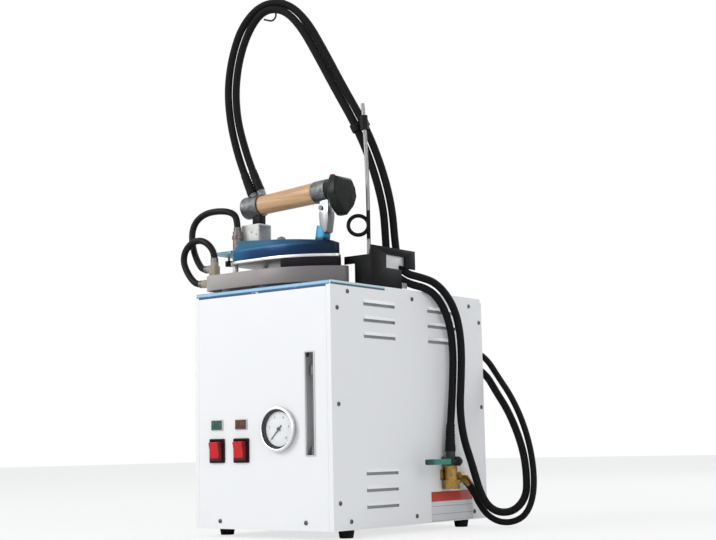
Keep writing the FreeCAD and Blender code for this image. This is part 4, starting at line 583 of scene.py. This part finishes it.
# %% [markdown]
# ### Bare metal
# Zinc, steel, chrome, brass and cast aluminium differ in colour and in how they were worked: drawn rod
# has fine lines along it, turned brass has brown stains, zinc has soft patches. The recipe stretches
# its noise along one axis to draw the lines. A zone paints what has another colour on the same piece:
# the strap's bright head, the rim's pale face, the valve's black sleeve and the mast's dark coil.

# %% Metals


def metal(name, colour, stain, gloss=0.3, lines=(1, 1, 1), line_scale=900.0, spread=0.12, stained=0.35,
          depth=0.00003, patches=60.0):
    coat = Finish(name, Metallic=1.0)
    drawn = coat.cloud(line_scale, 4, 0.6, place=coat.place(lines))
    dark = coat.patches(coat.cloud(patches, 6, 0.65), 0.45, 0.75, stained)
    coat.paint(coat.mix(dark, colour, stain))
    coat.gloss(drawn, gloss - spread / 2, gloss + spread)
    coat.relief(drawn, 0.3, depth)
    return coat


metal("zinc_plate", (0.50, 0.51, 0.52), (0.30, 0.31, 0.33), 0.42, patches=90)
metal("screw_zinc", (0.13, 0.13, 0.125), (0.05, 0.05, 0.047), 0.36, patches=300)
metal("screw_dark", (0.04, 0.04, 0.042), (0.02, 0.02, 0.02), 0.40, patches=200)
metal("tank_stainless", (0.60, 0.59, 0.57), (0.40, 0.36, 0.30), 0.32, (1, 1, 0.02), 500)
metal("plain_steel", (0.45, 0.45, 0.45), (0.20, 0.16, 0.13), 0.42)
metal("nickel_plate", (0.42, 0.40, 0.37), (0.22, 0.20, 0.17), 0.28, patches=200)
metal("sole_aluminium", (0.66, 0.66, 0.67), (0.46, 0.45, 0.45), 0.34, (0.03, 1, 1), 500, 0.16)
metal("ferrule_grey", (0.20, 0.205, 0.21), (0.035, 0.035, 0.038), 0.44, (1, 0.3, 0.3), 260, 0.18, 0.9,
      patches=130)
metal("socket_steel", (0.30, 0.30, 0.31), (0.14, 0.13, 0.12), 0.40)
metal("spring_wire", (0.07, 0.07, 0.075), (0.03, 0.03, 0.03), 0.40, stained=0.5)
metal("inlet_bronze", (0.20, 0.18, 0.17), (0.06, 0.05, 0.045), 0.45, (1, 1, 0.1), 600, 0.16, 0.8, patches=170)
metal("dark_fitting", (0.17, 0.17, 0.17), (0.10, 0.10, 0.10), 0.45)

strap = metal("strap_steel", (0.30, 0.305, 0.315), (0.17, 0.165, 0.16), 0.38, (1, 1, 0.05), 700)
strap.over(strap.past("Z", 487, 3), (0.74, 0.745, 0.75))

rim_face_y = -205.2
bezel = metal("bezel_chrome", (0.60, 0.605, 0.61), (0.42, 0.42, 0.43), 0.28, spread=0.06, stained=0.3)
bezel.over(bezel.short_of("Y", rim_face_y, 0.5), (0.86, 0.86, 0.87))

brass = metal("machined_brass", (0.40, 0.255, 0.075), (0.06, 0.035, 0.012), 0.34, (1, 1, 6), 700, 0.14, 0.95,
              0.00006, 130)
sleeve = brass.zone(("Z", 98, 121), ("X", 110, None))
brass.over(sleeve, (0.012, 0.012, 0.013))
brass.set("Metallic", brass.between(sleeve, 1, 0))

coil_foot, coil_top = 441, 487
mast = metal("mast_steel", (0.24, 0.24, 0.25), (0.09, 0.085, 0.08), 0.32, (1, 1, 0.03), 900, 0.14)
up_the_coil = mast.reach("Z", coil_foot, coil_top)
coil = mast.ramp(up_the_coil, (0.0, nothing), (0.06, full), (0.94, full), (1.0, nothing))
mast.over(coil, (0.012, 0.012, 0.014))
print("finishes with metals:", len(finishes))

# %% [markdown]
# ### Moulded plastic and rubber
# The guard, block and switch frames are moulded: a pebbled skin with soft gloss and pale scuffs here
# and there. Rubber is duller. Again it is one recipe with different numbers. The rockers have painted
# shade on their right half and at their foot; the lever is darker at its ends, and the rest's rear posts are
# steel.

# %% Plastics and rubber


def moulded(name, colour, scuff, gloss=0.4, pebble=1200.0, depth=0.00008, scuffed=0.25, **more):
    more.setdefault("Specular_IOR_Level", 0.12)
    coat = Finish(name, **more)
    worn = coat.patches(coat.cloud(120, 6, 0.7), 0.50, 0.80, scuffed)
    coat.paint(coat.mix(worn, colour, scuff))
    coat.gloss(coat.cloud(45, 4), gloss - 0.08, gloss + 0.14)
    fine = coat.relief(coat.cloud(pebble, 2), 0.5, depth)
    coat.relief(coat.cloud(160, 4), 0.2, depth * 2, fine)
    return coat


moulded("trim_black", (0.008, 0.008, 0.009), (0.04, 0.04, 0.04), 0.35)
moulded("trim_pale", (0.62, 0.625, 0.63), (0.70, 0.70, 0.70), 0.40, Specular_IOR_Level=0.4)
moulded("foot_rubber", (0.008, 0.008, 0.008), (0.035, 0.034, 0.032), 0.70, 500, 0.00012, 0.4)
moulded("guard_phenolic", (0.007, 0.008, 0.008), (0.06, 0.065, 0.062), 0.34, 420, 0.00030, 0.35,
        Coat_Weight=0.15, Coat_Roughness=0.25)
moulded("block_phenolic", (0.008, 0.0075, 0.010), (0.035, 0.03, 0.03), 0.38)
moulded("cap_phenolic", (0.008, 0.008, 0.008), (0.04, 0.04, 0.04), 0.32)
moulded("clip_nylon", (0.009, 0.009, 0.010), (0.035, 0.035, 0.035), 0.45)
moulded("elbow_nylon", (0.36, 0.325, 0.235), (0.12, 0.13, 0.10), 0.42, scuffed=0.9)
moulded("button_red", (0.16, 0.012, 0.012), (0.28, 0.06, 0.05), 0.3, scuffed=0.2)
moulded("tube_rubber", (0.008, 0.008, 0.009), (0.03, 0.03, 0.03), 0.36, 900, 0.00006)
moulded("sleeve_rubber", (0.007, 0.007, 0.008), (0.03, 0.03, 0.03), 0.50, 900, 0.00008)
moulded("inner_plastic", (0.06, 0.06, 0.06), (0.12, 0.12, 0.12), 0.45)
moulded("needle_paint", (0.10, 0.10, 0.105), (0.16, 0.16, 0.16), 0.45, scuffed=0.1)
# Near black and almost without reflection: the gauge's ring, partly painted shade for the rim's recess.
moulded("ring_black_shade", (0.004, 0.004, 0.004), (0.01, 0.01, 0.01), 0.6, scuffed=0.1, Specular_IOR_Level=0.02)
for name, colour, pale_colour in (("lamp_green_lens", (0.035, 0.105, 0.075), (0.20, 0.36, 0.30)),
                                  ("lamp_red_lens", (0.11, 0.045, 0.035), (0.34, 0.20, 0.17))):
    moulded(name, colour, pale_colour, 0.18, 900, 0.00003, 0.7, Coat_Weight=0.3)

shaded_start, shaded_end, shaded_foot = 6.6, 14, 10.8
rocker = moulded("rocker_lens", (0.58, 0.014, 0.020), (0.72, 0.07, 0.06), 0.22, 900, 0.00003, 0.20,
                 Coat_Weight=0.2, Coat_Roughness=0.12)
# Painted shade: each rocker darker on its right half, and both darker at their foot.
for x in switches_x:
    half = rocker.zone(("X", x + shaded_start, None, 0.8), ("X", None, x + shaded_end))
    rocker.over(half, (0.10, 0.003, 0.006))
rocker.over(rocker.short_of("Z", switches_z - shaded_foot, 1.2), (0.06, 0.008, 0.008))

lever_near, lever_far = 7, 52
lever = moulded("lever_vinyl", (0.055, 0.235, 0.18), (0.14, 0.36, 0.30), 0.36, 500, 0.0001, 0.5)
lever.over(lever.short_of("Y", lever_near, 5), (0.035, 0.085, 0.08))
lever.over(lever.past("Y", lever_far, 1), (0.012, 0.022, 0.018))

posts_end = -90
pad = moulded("pad_silicone", (0.008, 0.008, 0.009), (0.03, 0.03, 0.03), 0.55, 700, 0.0001)
posts = pad.short_of("X", posts_end)
pad.over(posts, (0.50, 0.50, 0.51))
pad.set("Metallic", posts)
print("finishes so far:", len(finishes))

# %% [markdown]
# ### Woven jacket
# The steam hoses have a black textile braid over rubber. Its yarns cross at a slant and each one is
# rounded, so two sets of slanted waves run on the tube's own map, one round it and the other along. The
# yarns are painted darker where they lie low and lighter on their crests, as shade and sheen.

# %% Braided hose jacket
yarns = 12
pitch = 0.009
waves_to_a_turn = 4

braid = Finish("hose_braid", Sheen_Weight=0.02, Sheen_Roughness=0.4, Specular_IOR_Level=0.06)
slants = []
for side in (-1, 1):
    parts = node(braid.tree, "SeparateXYZ")
    fed(braid.tree, parts, braid.place((yarns, side / pitch * waves_to_a_turn, 1), along=True))
    run = braid.math("ADD", parts.outputs["X"], parts.outputs["Y"])
    slants.append(braid.math("SINE", braid.math("MULTIPLY", run, 2 * math.pi)))
height = braid.between(braid.math("MAXIMUM", *slants), 0, 1, -1, 1)
fuzz = braid.cloud(260, 5, 0.7)
# Painted shade and sheen in the weave: darker where the yarns lie low, lighter on their crests.
yarn = braid.ramp(height, (0.0, (0.002, 0.002, 0.002)), (0.55, (0.006, 0.006, 0.007)),
                  (1.0, (0.016, 0.016, 0.017)))
braid.paint(braid.mix(braid.patches(fuzz, 0.50, 0.75, 0.20), yarn, (0.03, 0.029, 0.028)))
braid.gloss(fuzz, 0.42, 0.66)
braid.relief(height, 0.7, 0.0004)
print("braid:", yarns, "yarns round")

# %% [markdown]
# ### Wood
# The handle is turned from pale beech: long streaks along it, darker flecks, and a thin satin oil that
# hands have polished. Noise stretched along the handle makes the streaks, and a second, shorter one
# makes the flecks that beech is known by.

# %% Beech
handle_tilt = math.radians(2.7)
lie = (0, handle_tilt, 0)
wood = Finish("beech_wood", Coat_Weight=0.15, Coat_Roughness=0.3)
rings = wood.cloud(190, 5, 0.6, 0.6, wood.place((0.06, 1, 1), lie))
streaks = wood.cloud(620, place=wood.place((0.03, 1, 1), lie, (0, 0.3, 0.1)))
flecks = wood.cloud(1300, 2, place=wood.place((0.16, 1, 1), lie))
wood.paint(wood.ramp(rings, (0.28, (0.42, 0.225, 0.10)), (0.50, (0.60, 0.36, 0.18)),
                     (0.72, (0.70, 0.46, 0.26))))
wood.over(wood.patches(streaks, 0.50, 0.72, 0.5), (0.40, 0.21, 0.095))
wood.over(wood.patches(flecks, 0.62, 0.70, 0.5), (0.30, 0.15, 0.06))
wood.gloss(rings, 0.34, 0.52)
wood.relief(streaks, 0.35, 0.00008)
print("beech ready")

# %% [markdown]
# ### Glass, print and the plain plate
# The gauge's lens and the level tube are clear, so they only lend a reflection. The dial is matt white
# print. The plate under the valve is pale with a broad orange band and two thin lines, without words.

# %% Clear and printed finishes
glass = Finish("clear_glass", Base_Color=(0.93, 0.97, 0.98, 1), Roughness=0.04, Alpha=0.03,
               Specular_IOR_Level=0.25)
glass.relief(glass.cloud(200, 2), 0.1, 0.00002)

enamel("dial_print", white, (0.83, 0.84, 0.85), 0.5, 1200, 0.00002, dirt=0.02)
enamel("dial_ink", (0.03, 0.03, 0.035), (0.02, 0.02, 0.025), 0.5, 1200, 0.00002, dirt=0.0)

plate_foot, plate_top = 13.5, 58.5
pale, line_height = (0.66, 0.665, 0.675), 0.8
plate = Finish("plate_print")
rise = plate.reach("Z", plate_foot, plate_top)
plate.paint(plate.ramp(rise, (0.0, (0.52, 0.525, 0.54)), (0.05, pale), (0.65, pale),
                       (0.68, (0.47, 0.040, 0.010)), (0.97, (0.43, 0.030, 0.008)), (1.0, (0.28, 0.02, 0.01))))
for line_z in (24.0, 36.0):
    plate.over(plate.zone(("Z", line_z, line_z + line_height, 0.1)), (0.30, 0.30, 0.31))
plate.over(plate.patches(plate.cloud(140, 6, 0.7), 0.58, 0.76, 0.35), (0.66, 0.62, 0.60))
plate.gloss(plate.cloud(60, 4), 0.34, 0.5)
plate.relief(plate.cloud(900, 2), 0.25, 0.00003)
print("finishes:", len(finishes))

# %% [markdown]
# ### Which solid wears which finish
# A solid whose shape is right only needs its finish. Its own material slots take it, so its mesh is
# left alone. The jackets of the hoses and tubes get theirs here too.

# %% Finishes on the solids
wearers = {
    "white_enamel": "base_pan right_panel left_panel rear_panel", "front_enamel": "front_panel",
    "lid_enamel": "top_cover", "foot_rubber": "rubber_feet", "screw_zinc": "panel_screws iron_screws",
    "tank_stainless": "boiler_tank filler_neck", "plain_steel": "boiler_stand heating_element",
    "inner_plastic": "pressure_switch",
    "machined_brass": "safety_valve solenoid_valve gauge_pipe ball_valve",
    "cap_phenolic": "filler_cap cable_glands", "clear_glass": "sight_glass gauge_lens",
    "dark_fitting": "glass_fittings", "trim_pale": "window_trim", "bezel_chrome": "gauge_case",
    "dial_print": "gauge_dial", "needle_paint": "gauge_needle",
    "trim_black": "left_switch_housing right_switch_housing", "rocker_lens": "left_rocker right_rocker",
    "lamp_red_lens": "pilot_lamps", "lever_vinyl": "valve_lever", "plate_print": "side_plate",
    "nickel_plate": "steam_outlet", "tray_enamel": "rest_tray", "pad_silicone": "rest_pads",
    "elbow_nylon": "tube_fitting", "bracket_enamel": "hose_bracket", "zinc_plate": "clamp_plate",
    "socket_steel": "mast_socket", "mast_steel": "mast_rod", "clip_nylon": "mast_clip",
    "spring_wire": "mast_wire", "sole_aluminium": "sole_plate", "cover_blue_paint": "sole_cover",
    "cream_enamel": "rear_bracket", "block_phenolic": "handle_block", "beech_wood": "wooden_handle",
    "ferrule_grey": "rear_cap front_ferrule", "guard_phenolic": "hand_guard", "button_red": "steam_button",
    "strap_steel": "front_bracket", "inlet_bronze": "tube_inlet",
}
worn_by = {name: finish for finish, names in wearers.items() for name in names.split()}
for name, wanted in worn_by.items():
    solid = frame["nodes"][name]
    if not solid.material_slots:
        solid.data.materials.append(finishes[wanted])
    for held in solid.material_slots:
        held.material = finishes[wanted]
for name, piece in cords.items():
    piece.data.materials.append(finishes["tube_rubber" if "tube" in name else "hose_braid"])
print("solids dressed:", len(worn_by))

# %% [markdown]
# ## Ways to model a piece
# Three ways serve most pieces. A piece whose solid is right but has knife edges is a copy of the solid
# with its loose triangles merged and its edges rounded by a bevel. A round piece is a path of points
# spun about its axis. A small block is a cube with bevelled edges, cut or inset afterwards.

# %% Helpers for modelling
solid_weld, piece_weld, spun_weld = 0.00001, 0.000005, 0.000002
flat_angle = 1.0


def edit(piece):
    """Opens a piece for edit-mode steps, with all of it selected."""
    take(piece)
    bpy.ops.object.mode_set(mode="EDIT")
    bpy.ops.mesh.select_all(action="SELECT")


def close():
    bpy.ops.object.mode_set(mode="OBJECT")


def apply_place():
    bpy.ops.object.transform_apply(location=True, rotation=True, scale=True)


def fit(piece, body, slot, wears, *stands_for, smooth=35, weld=True):
    """Puts a piece's place into its mesh, welds it, dresses it and lets it ride."""
    take(piece)
    apply_place()
    if weld:
        edit(piece)
        bpy.ops.mesh.remove_doubles(threshold=piece_weld)
        bpy.ops.mesh.normals_make_consistent(inside=False)
        close()
    bpy.ops.object.shade_smooth_by_angle(angle=math.radians(smooth))
    piece.data.materials.clear()
    piece.data.materials.append(finishes[wears])
    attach(piece, body)
    if stands_for:
        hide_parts(*stands_for)
    print(piece.name, len(piece.data.polygons), "faces")
    return piece


def modified(piece, kind, **values):
    """Adds one modifier and applies it."""
    take(piece)
    added = piece.modifiers.new(kind.lower(), kind)
    for key, value in values.items():
        setattr(added, key, value)
    bpy.ops.object.modifier_apply(modifier=added.name)
    return piece


def softened(name, width, segments=2, angle=32):
    """Copy of a solid with its edges rounded. It stands for the solid."""
    piece = new_object(name + "_shown", frame["nodes"][name].data.copy())
    take(piece)
    bpy.ops.mesh.customdata_custom_splitnormals_clear()
    edit(piece)
    bpy.ops.mesh.remove_doubles(threshold=solid_weld)
    bpy.ops.mesh.dissolve_limited(angle_limit=math.radians(flat_angle))
    close()
    modified(piece, "BEVEL", width=width * mm, segments=segments, limit_method="ANGLE",
             angle_limit=math.radians(angle), miter_outer="MITER_ARC")
    return fit(piece, bodies[name], slots[name], worn_by[name], name, weld=False)


def slab(name, low, high, soft=0.4, rounds=2, base=cabinet_place):
    """Block between two corners, its edges rounded."""
    low, high = Vector(low), Vector(high)
    alone()
    bpy.ops.mesh.primitive_cube_add(size=1, location=(low + high) / 2 * mm + base, scale=(high - low) * mm)
    piece = bpy.context.object
    piece.name = name
    apply_place()
    edit(piece)
    bpy.ops.mesh.bevel(offset=soft * mm, segments=rounds, affect="EDGES")
    close()
    return piece


def turned(name, profile, place=None, toward=(0, 0, 1), steps=48):
    """Body turned from (radius, height) points, its foot at a place and its axis along a heading."""
    alone()
    bpy.ops.mesh.primitive_plane_add(size=mm)
    piece = bpy.context.object
    piece.name = name
    edit(piece)
    bpy.ops.mesh.merge(type="CENTER")
    bpy.ops.transform.translate(value=(profile[0][0] * mm, 0, profile[0][1] * mm))
    for (r0, h0), (r1, h1) in zip(profile, profile[1:]):
        step = ((r1 - r0) * mm, 0, (h1 - h0) * mm)
        bpy.ops.mesh.extrude_vertices_move(TRANSFORM_OT_translate={"value": step})
    bpy.ops.mesh.select_all(action="SELECT")
    bpy.ops.mesh.spin(steps=steps, angle=2 * math.pi, center=(0, 0, 0), axis=(0, 0, 1))
    bpy.ops.mesh.select_all(action="SELECT")
    bpy.ops.mesh.remove_doubles(threshold=spun_weld)
    bpy.ops.mesh.normals_make_consistent(inside=False)
    close()
    piece.rotation_euler = Vector(toward).to_track_quat("Z", "Y").to_euler()
    if place is not None:
        piece.location = at(*place)
    return piece


def copied(master, place, toward=None, spun=0.0):
    """A copy with its own mesh, its foot at a place. It can face another way or be spun about the Y axis."""
    piece = new_object(master.name + "_copy", master.data.copy())
    piece.location = at(*place)
    if toward is not None:
        piece.rotation_euler = Vector(toward).to_track_quat("Z", "Y").to_euler()
    else:
        piece.rotation_euler = (0, spun, 0)
    take(piece)
    apply_place()
    return piece


def joined_up(name, pieces):
    take(pieces[0])
    for piece in pieces:
        piece.select_set(True)
    bpy.ops.object.join()
    pieces[0].name = name
    return pieces[0]


print("ways to model are ready")

# %% [markdown]
# ## Edges
# Sheet, castings and mouldings never end in a knife edge, and it is the rounded edge that catches the
# light. Rounding each solid's own edges keeps its sizes, so nothing has to be measured again. Only the
# two rockers are then made a little flatter, because in the picture they stand out less.

# %% Solids with rounded edges
edge_widths = {
    "hand_guard": 2.2, "handle_block": 1.2, "rear_bracket": 1.0, "front_bracket": 0.4, "sole_cover": 0.9,
    "sole_plate": 0.6, "rest_tray": 1.0, "rest_pads": 1.2, "hose_bracket": 0.35, "clamp_plate": 0.25,
    "mast_socket": 0.7, "left_switch_housing": 0.7, "right_switch_housing": 0.7, "left_rocker": 1.3,
    "right_rocker": 1.3, "window_trim": 0.35, "side_plate": 0.12, "valve_lever": 0.8, "filler_cap": 0.9,
    "rubber_feet": 0.8, "front_ferrule": 0.7, "steam_button": 0.5,
}
rocker_pins, rocker_depth_share = at(0, -198.1, switches_z), 0.70
for name, width in edge_widths.items():
    softened(name, width)
for name in ("left_rocker", "right_rocker"):
    edit(bpy.data.objects[name + "_shown"])
    bpy.ops.transform.resize(value=(1, rocker_depth_share, 1), center_override=rocker_pins)
    close()

# %% [markdown]
# ## Screws
# Twenty-eight pan-head screws hold the sheets. One head is spun, its cross is cut by two bars, and the
# head is then copied to each hole, always facing away from its sheet.

# %% Cross-head screws
pan_head = [(0, -0.4), (3.3, -0.4), (3.4, 0.5), (3.1, 1.1), (2.3, 1.55), (1.2, 1.75), (0, 1.8)]
head = turned("panel_screw", pan_head, steps=20)
cross_reach, cross_half_width = 2.0, 0.36
cross_foot, cross_top = 0.7, 2.4
for half_x, half_y in ((cross_reach, cross_half_width), (cross_half_width, cross_reach)):
    bar = slab("bar", (-half_x, -half_y, cross_foot), (half_x, half_y, cross_top), 0.05, 1, Vector())
    modified(head, "BOOLEAN", operation="DIFFERENCE", object=bar, solver="EXACT")
    bpy.data.objects.remove(bar)
side_holes = [(y, z) for y in (-158, 2, 160) for z in (24, 354)]
side_holes += [(y, z) for y in (-182.5, 189) for z in (50.5, 190.5, 328.75)]
end_holes = [(x, 23.5) for x in (-84, 84)]
screws = []
for side in (-1, 1):
    screws += [copied(head, (side * half_width, y, z), (side, 0, 0)) for y, z in side_holes]
    screws += [copied(head, (x, side * half_depth, z), (0, side, 0)) for x, z in end_holes]
bpy.data.objects.remove(head)
print("screws:", len(screws))
fit(joined_up("panel_screws_shown", screws), "cabinet", slots["panel_screws"], "screw_zinc", "panel_screws",
    weld=False)

# %% [markdown]
# ## Pressure gauge
# The gauge has a rolled steel rim, a black ring that holds the glass off the dial, and a dial with a
# scale. The ring is near black and almost unreflecting, so it also serves as painted shade inside the rim's
# recess. Rim and ring are spun. One tick is a thin bar, copied round the scale, and the numbers are
# text made into a mesh. They say only how far along the scale they stand.

# %% The rim and the black ring
gauge_x, gauge_z, dial_y = 36.45, 157.4, -199.1
case_radius, case_rear, case_front = 29, -171.5, -197.0
rim = turned(
    "gauge_rim",
    [(30.5, -0.4), (31.9, -0.4), (32.3, 1.4), (32.9, 2.4), (33.0, 6.4), (32.8, 7.6), (32.2, 8.5),
     (31.2, 8.95), (30.0, 9.0), (29.1, 8.7), (28.8, 8.1), (28.9, 7.5), (30.5, 7.2), (30.5, -0.4)],
    (gauge_x, front_y, gauge_z), (0, -1, 0), 72)
back = slab("case_back", (gauge_x - case_radius, case_front, gauge_z - case_radius),
            (gauge_x + case_radius, case_rear, gauge_z + case_radius), 8.4, 5)
fit(rim, "cabinet", "gauge_chrome", "bezel_chrome", "gauge_case")
fit(back, "cabinet", "gauge_chrome", "plain_steel")
ring = turned(
    "gauge_ring",
    [(30.2, 0.1), (30.2, 4.7), (28.2, 4.8), (27.4, 4.2), (25.6, 0.9), (25.2, 0.1), (30.2, 0.1)],
    (gauge_x, dial_y, gauge_z), (0, -1, 0), 72)
fit(ring, "cabinet", "switch_black", "ring_black_shade")

# %% The scale and its numbers
scale_start, scale_span = 225, 270
ticks, last_number = 50, 10
number_radius, number_height, number_depth = 18.6, 5.0, 0.06
tick = slab("tick", (22.6, -0.14, -0.22), (24.9, 0.02, 0.22), 0.02, 1, Vector())
short = slab("short_tick", (23.6, -0.14, -0.12), (24.9, 0.02, 0.12), 0.02, 1, Vector())
marks = []
for k in range(ticks + 1):
    angle = math.radians(scale_start - scale_span * k / ticks)
    marks.append(copied(short if k % 5 else tick, (gauge_x, dial_y, gauge_z), spun=-angle))
for piece in (tick, short):
    bpy.data.objects.remove(piece)
for number in range(0, last_number + 1, 2):
    angle = math.radians(scale_start - scale_span * number / last_number)
    alone()
    bpy.ops.object.text_add()
    text = bpy.context.object
    text.data.body = str(number)
    text.data.size, text.data.extrude = number_height * mm, number_depth * mm
    text.data.align_x, text.data.align_y = "CENTER", "CENTER"
    text.data.resolution_u = 4
    bpy.ops.object.convert(target="MESH")
    text.rotation_euler = (math.pi / 2, 0, 0)
    text.location = at(gauge_x + number_radius * math.cos(angle), dial_y - number_depth,
                       gauge_z + number_radius * math.sin(angle))
    apply_place()
    marks.append(text)
fit(joined_up("dial_marks", marks), "cabinet", "needle_black", "dial_ink", weld=False)

# %% [markdown]
# ## Pilot lamps
# Each lamp is a pale frame with a ribbed lens. The lens is a grid of strips, each inset and pushed
# forward and then given a wall, so the ribs are real edges.

# %% Lamps
lamp_z, lamp_half_width, lamp_half_height = 166.0, 12.2, 8
lamp_front, lamp_rear, lens_y = -199.1, -180, -199.9
lens_width, lens_height, lens_wall = 20.6, 13.2, 0.8
ribs, rib_inset, rib_rise, rib_soft = 17, 0.25, 0.7, 0.08
for x, side, colour in zip(switches_x, ("left", "right"), ("lamp_green_lens", "lamp_red_lens")):
    holder = slab(side + "_lamp_frame", (x - lamp_half_width, lamp_front, lamp_z - lamp_half_height),
                  (x + lamp_half_width, lamp_rear, lamp_z + lamp_half_height), 0.5, 3)
    fit(holder, "cabinet", "lamp_plastic", "trim_pale", *(("pilot_lamps",) if side == "left" else ()))
    alone()
    bpy.ops.mesh.primitive_grid_add(x_subdivisions=ribs, y_subdivisions=1, size=1,
                                    location=at(x, lens_y, lamp_z), rotation=(math.pi / 2, 0, 0))
    lens = bpy.context.object
    lens.scale = (lens_width * mm, lens_height * mm, 1)
    lens.name = side + "_lamp_lens"
    apply_place()
    edit(lens)
    bpy.ops.mesh.inset(thickness=rib_inset * mm, use_individual=True)
    bpy.ops.transform.translate(value=(0, -rib_rise * mm, 0))
    close()
    modified(lens, "SOLIDIFY", thickness=lens_wall * mm, offset=0)
    modified(lens, "BEVEL", width=rib_soft * mm, segments=2, limit_method="ANGLE",
             angle_limit=math.radians(40))
    fit(lens, "cabinet", "lamp_plastic", colour)

# %% [markdown]
# ## Level window and louvres
# Behind the window a bent channel of grey sheet carries the level tube, so the boiler isn't seen past
# it. It is an open box: a block loses its front side, and what is left gets a wall. A small black stop
# sits at its upper end. Dust screens, thin slabs of sheet, close the louvres from inside.

# %% Channel behind the window
channel_size = Vector((21.5, 17, 152))
sheet_wall, sheet_soft = 0.8, 0.3
alone()
bpy.ops.mesh.primitive_cube_add(size=1, location=at(94.8, -187.3, 192.3), scale=channel_size * mm)
channel = bpy.context.object
channel.name = "window_channel"
apply_place()
edit(channel)
bpy.ops.mesh.select_all(action="DESELECT")
close()
for face in channel.data.polygons:
    face.select = face.normal.y < -0.9
bpy.ops.object.mode_set(mode="EDIT")
bpy.ops.mesh.delete(type="FACE")
close()
modified(channel, "SOLIDIFY", thickness=sheet_wall * mm, offset=1)
modified(channel, "BEVEL", width=sheet_soft * mm, segments=2, limit_method="ANGLE")
fit(channel, "cabinet", "side_grey", "channel_enamel", weld=False)
notch = slab("window_notch", (88.4, -197.2, 259.5), (92.6, -195.6, 266.4), 0.3, 1)
fit(notch, "cabinet", "switch_black", "trim_black")

# %% Dust screens behind the louvres
screen_inner, screen_outer, screen_half_width = 131.2, 132.4, 44
below_louvres, above_louvres = 7, 9
louvre_y, high_group, low_group = 81.5, (288, 336), (40, 88)
groups = ((-louvre_y, *high_group), (louvre_y, *high_group), (-louvre_y, *low_group), (louvre_y, *low_group))
for side, side_name, rows in ((1, "right", groups[:3]), (-1, "left", groups)):
    near, far = sorted((side * screen_inner, side * screen_outer))
    for k, (y, low_z, high_z) in enumerate(rows, 1):
        screen = slab(f"{side_name}_dust_screen_{k}", (near, y - screen_half_width, low_z - below_louvres),
                      (far, y + screen_half_width, high_z + above_louvres), 0.3, 1)
        fit(screen, "cabinet", "side_grey", "inside_enamel")

# %% [markdown]
# ## The handle
# The grip is a turned stick of beech, a little thicker towards the hand guard, with rounded shoulders
# where it meets the metal caps. It is spun from a few points that follow the solid's taper.

# %% Wooden handle
axis = Vector((math.cos(handle_tilt), 0, math.sin(handle_tilt)))
handle_start, grip_start = Vector((-106, iron_y, 511)), 34.0
grip = [(0, 0), (13.6, 0), (14.7, 0.5), (15.15, 1.6), (15.2, 4), (15.3, 22), (15.55, 45), (15.9, 70),
        (16.25, 90), (16.45, 104), (16.45, 109.5), (16.1, 111.6), (15.0, 112.6), (0, 112.9)]
handle = turned("handle_shown", grip, handle_start + axis * grip_start, axis, 56)
fit(handle, "iron", slots["wooden_handle"], "beech_wood", "wooden_handle")

# %% [markdown]
# ## The nut on the cover
# A tall six-sided cap nut with a washer under it holds the cover down. It is spun in six steps, which
# gives its flats, and its washer turns in the same six.

# %% Cap nut
cap_nut = [(0, 0), (6.6, 0), (6.6, 1.0), (5.4, 1.1), (5.4, 5.6), (4.6, 6.6), (2.6, 7.6), (0, 7.9)]
nut = turned("cover_nut", cap_nut, (-28, -115, 449.2), steps=6)
fit(nut, "iron", "screw_steel", "screw_dark", smooth=20)

# %% [markdown]
# ## Sleeves on the hoses' ends
# Where a hose goes into a housing it wears a rubber sleeve that tapers off in rings, so that it can't
# kink there. The thin tubes have a short metal clip instead. Sleeve and clip follow the hose's own
# line, read more finely, and only their radius changes.

# %% Ribbed sleeves and clips
fine_steps, groove_depth, plain_share, groove_below = 40, 0.55, 0.18, -0.2


def boot(name, cord, from_end, long, wide, narrow, rings, body, slot, wears):
    """Sleeve of a length in millimetres on a cord's start or end, from a wide radius to a narrow one."""
    line = smooth_line(routes[cord], fine_steps)
    if from_end:
        line.reverse()
    points, radii, run = [line[0]], [wide * mm], 0.0
    for a, b in zip(line, line[1:]):
        run += (b - a).length / mm
        if run > long:
            break
        share = run / long
        grooved = rings and share > plain_share and math.sin(2 * math.pi * rings * share) < groove_below
        points.append(b)
        radii.append((wide + (narrow - wide) * share - (groove_depth if grooved else 0.0)) * mm)
    fit(tube(name, points, radii, 24), body, slot, wears, smooth=50, weld=False)


for name, cord, from_end, long, wide, narrow, rings, body, slot in (
    ("steam_hose_sleeve", "steam_hose", False, 44, 8.4, 6.9, 9, "cabinet", "hose_black"),
    ("steam_hose_cap_sleeve", "steam_hose", True, 38, 7.7, 6.7, 8, "iron", "hose_black"),
    ("iron_cable_cap_sleeve", "iron_cable", True, 38, 7.7, 6.7, 8, "iron", "cable_black"),
    ("iron_cable_sleeve", "iron_cable", False, 30, 7.2, 6.6, 7, "cabinet", "cable_black"),
    ("supply_hose_sleeve", "supply_hose", False, 26, 6.6, 5.6, 6, "cabinet", "hose_black"),
    ("supply_hose_low_sleeve", "supply_hose", True, 24, 6.6, 5.6, 6, "cabinet", "hose_black"),
):
    boot(name, cord, from_end, long, wide, narrow, rings, body, slot, "sleeve_rubber")
clip_length, clip_radius = 7, 6.1
for name, cord, from_end, body in (
    ("iron_tube_clip", "iron_tube", False, "cabinet"), ("rest_tube_clip", "rest_tube", False, "cabinet"),
    ("rest_tube_low_clip", "rest_tube", True, "cabinet"), ("iron_tube_inlet_clip", "iron_tube", True, "iron"),
):
    boot(name, cord, from_end, clip_length, clip_radius, clip_radius, 0, body, "tube_black", "ferrule_grey")
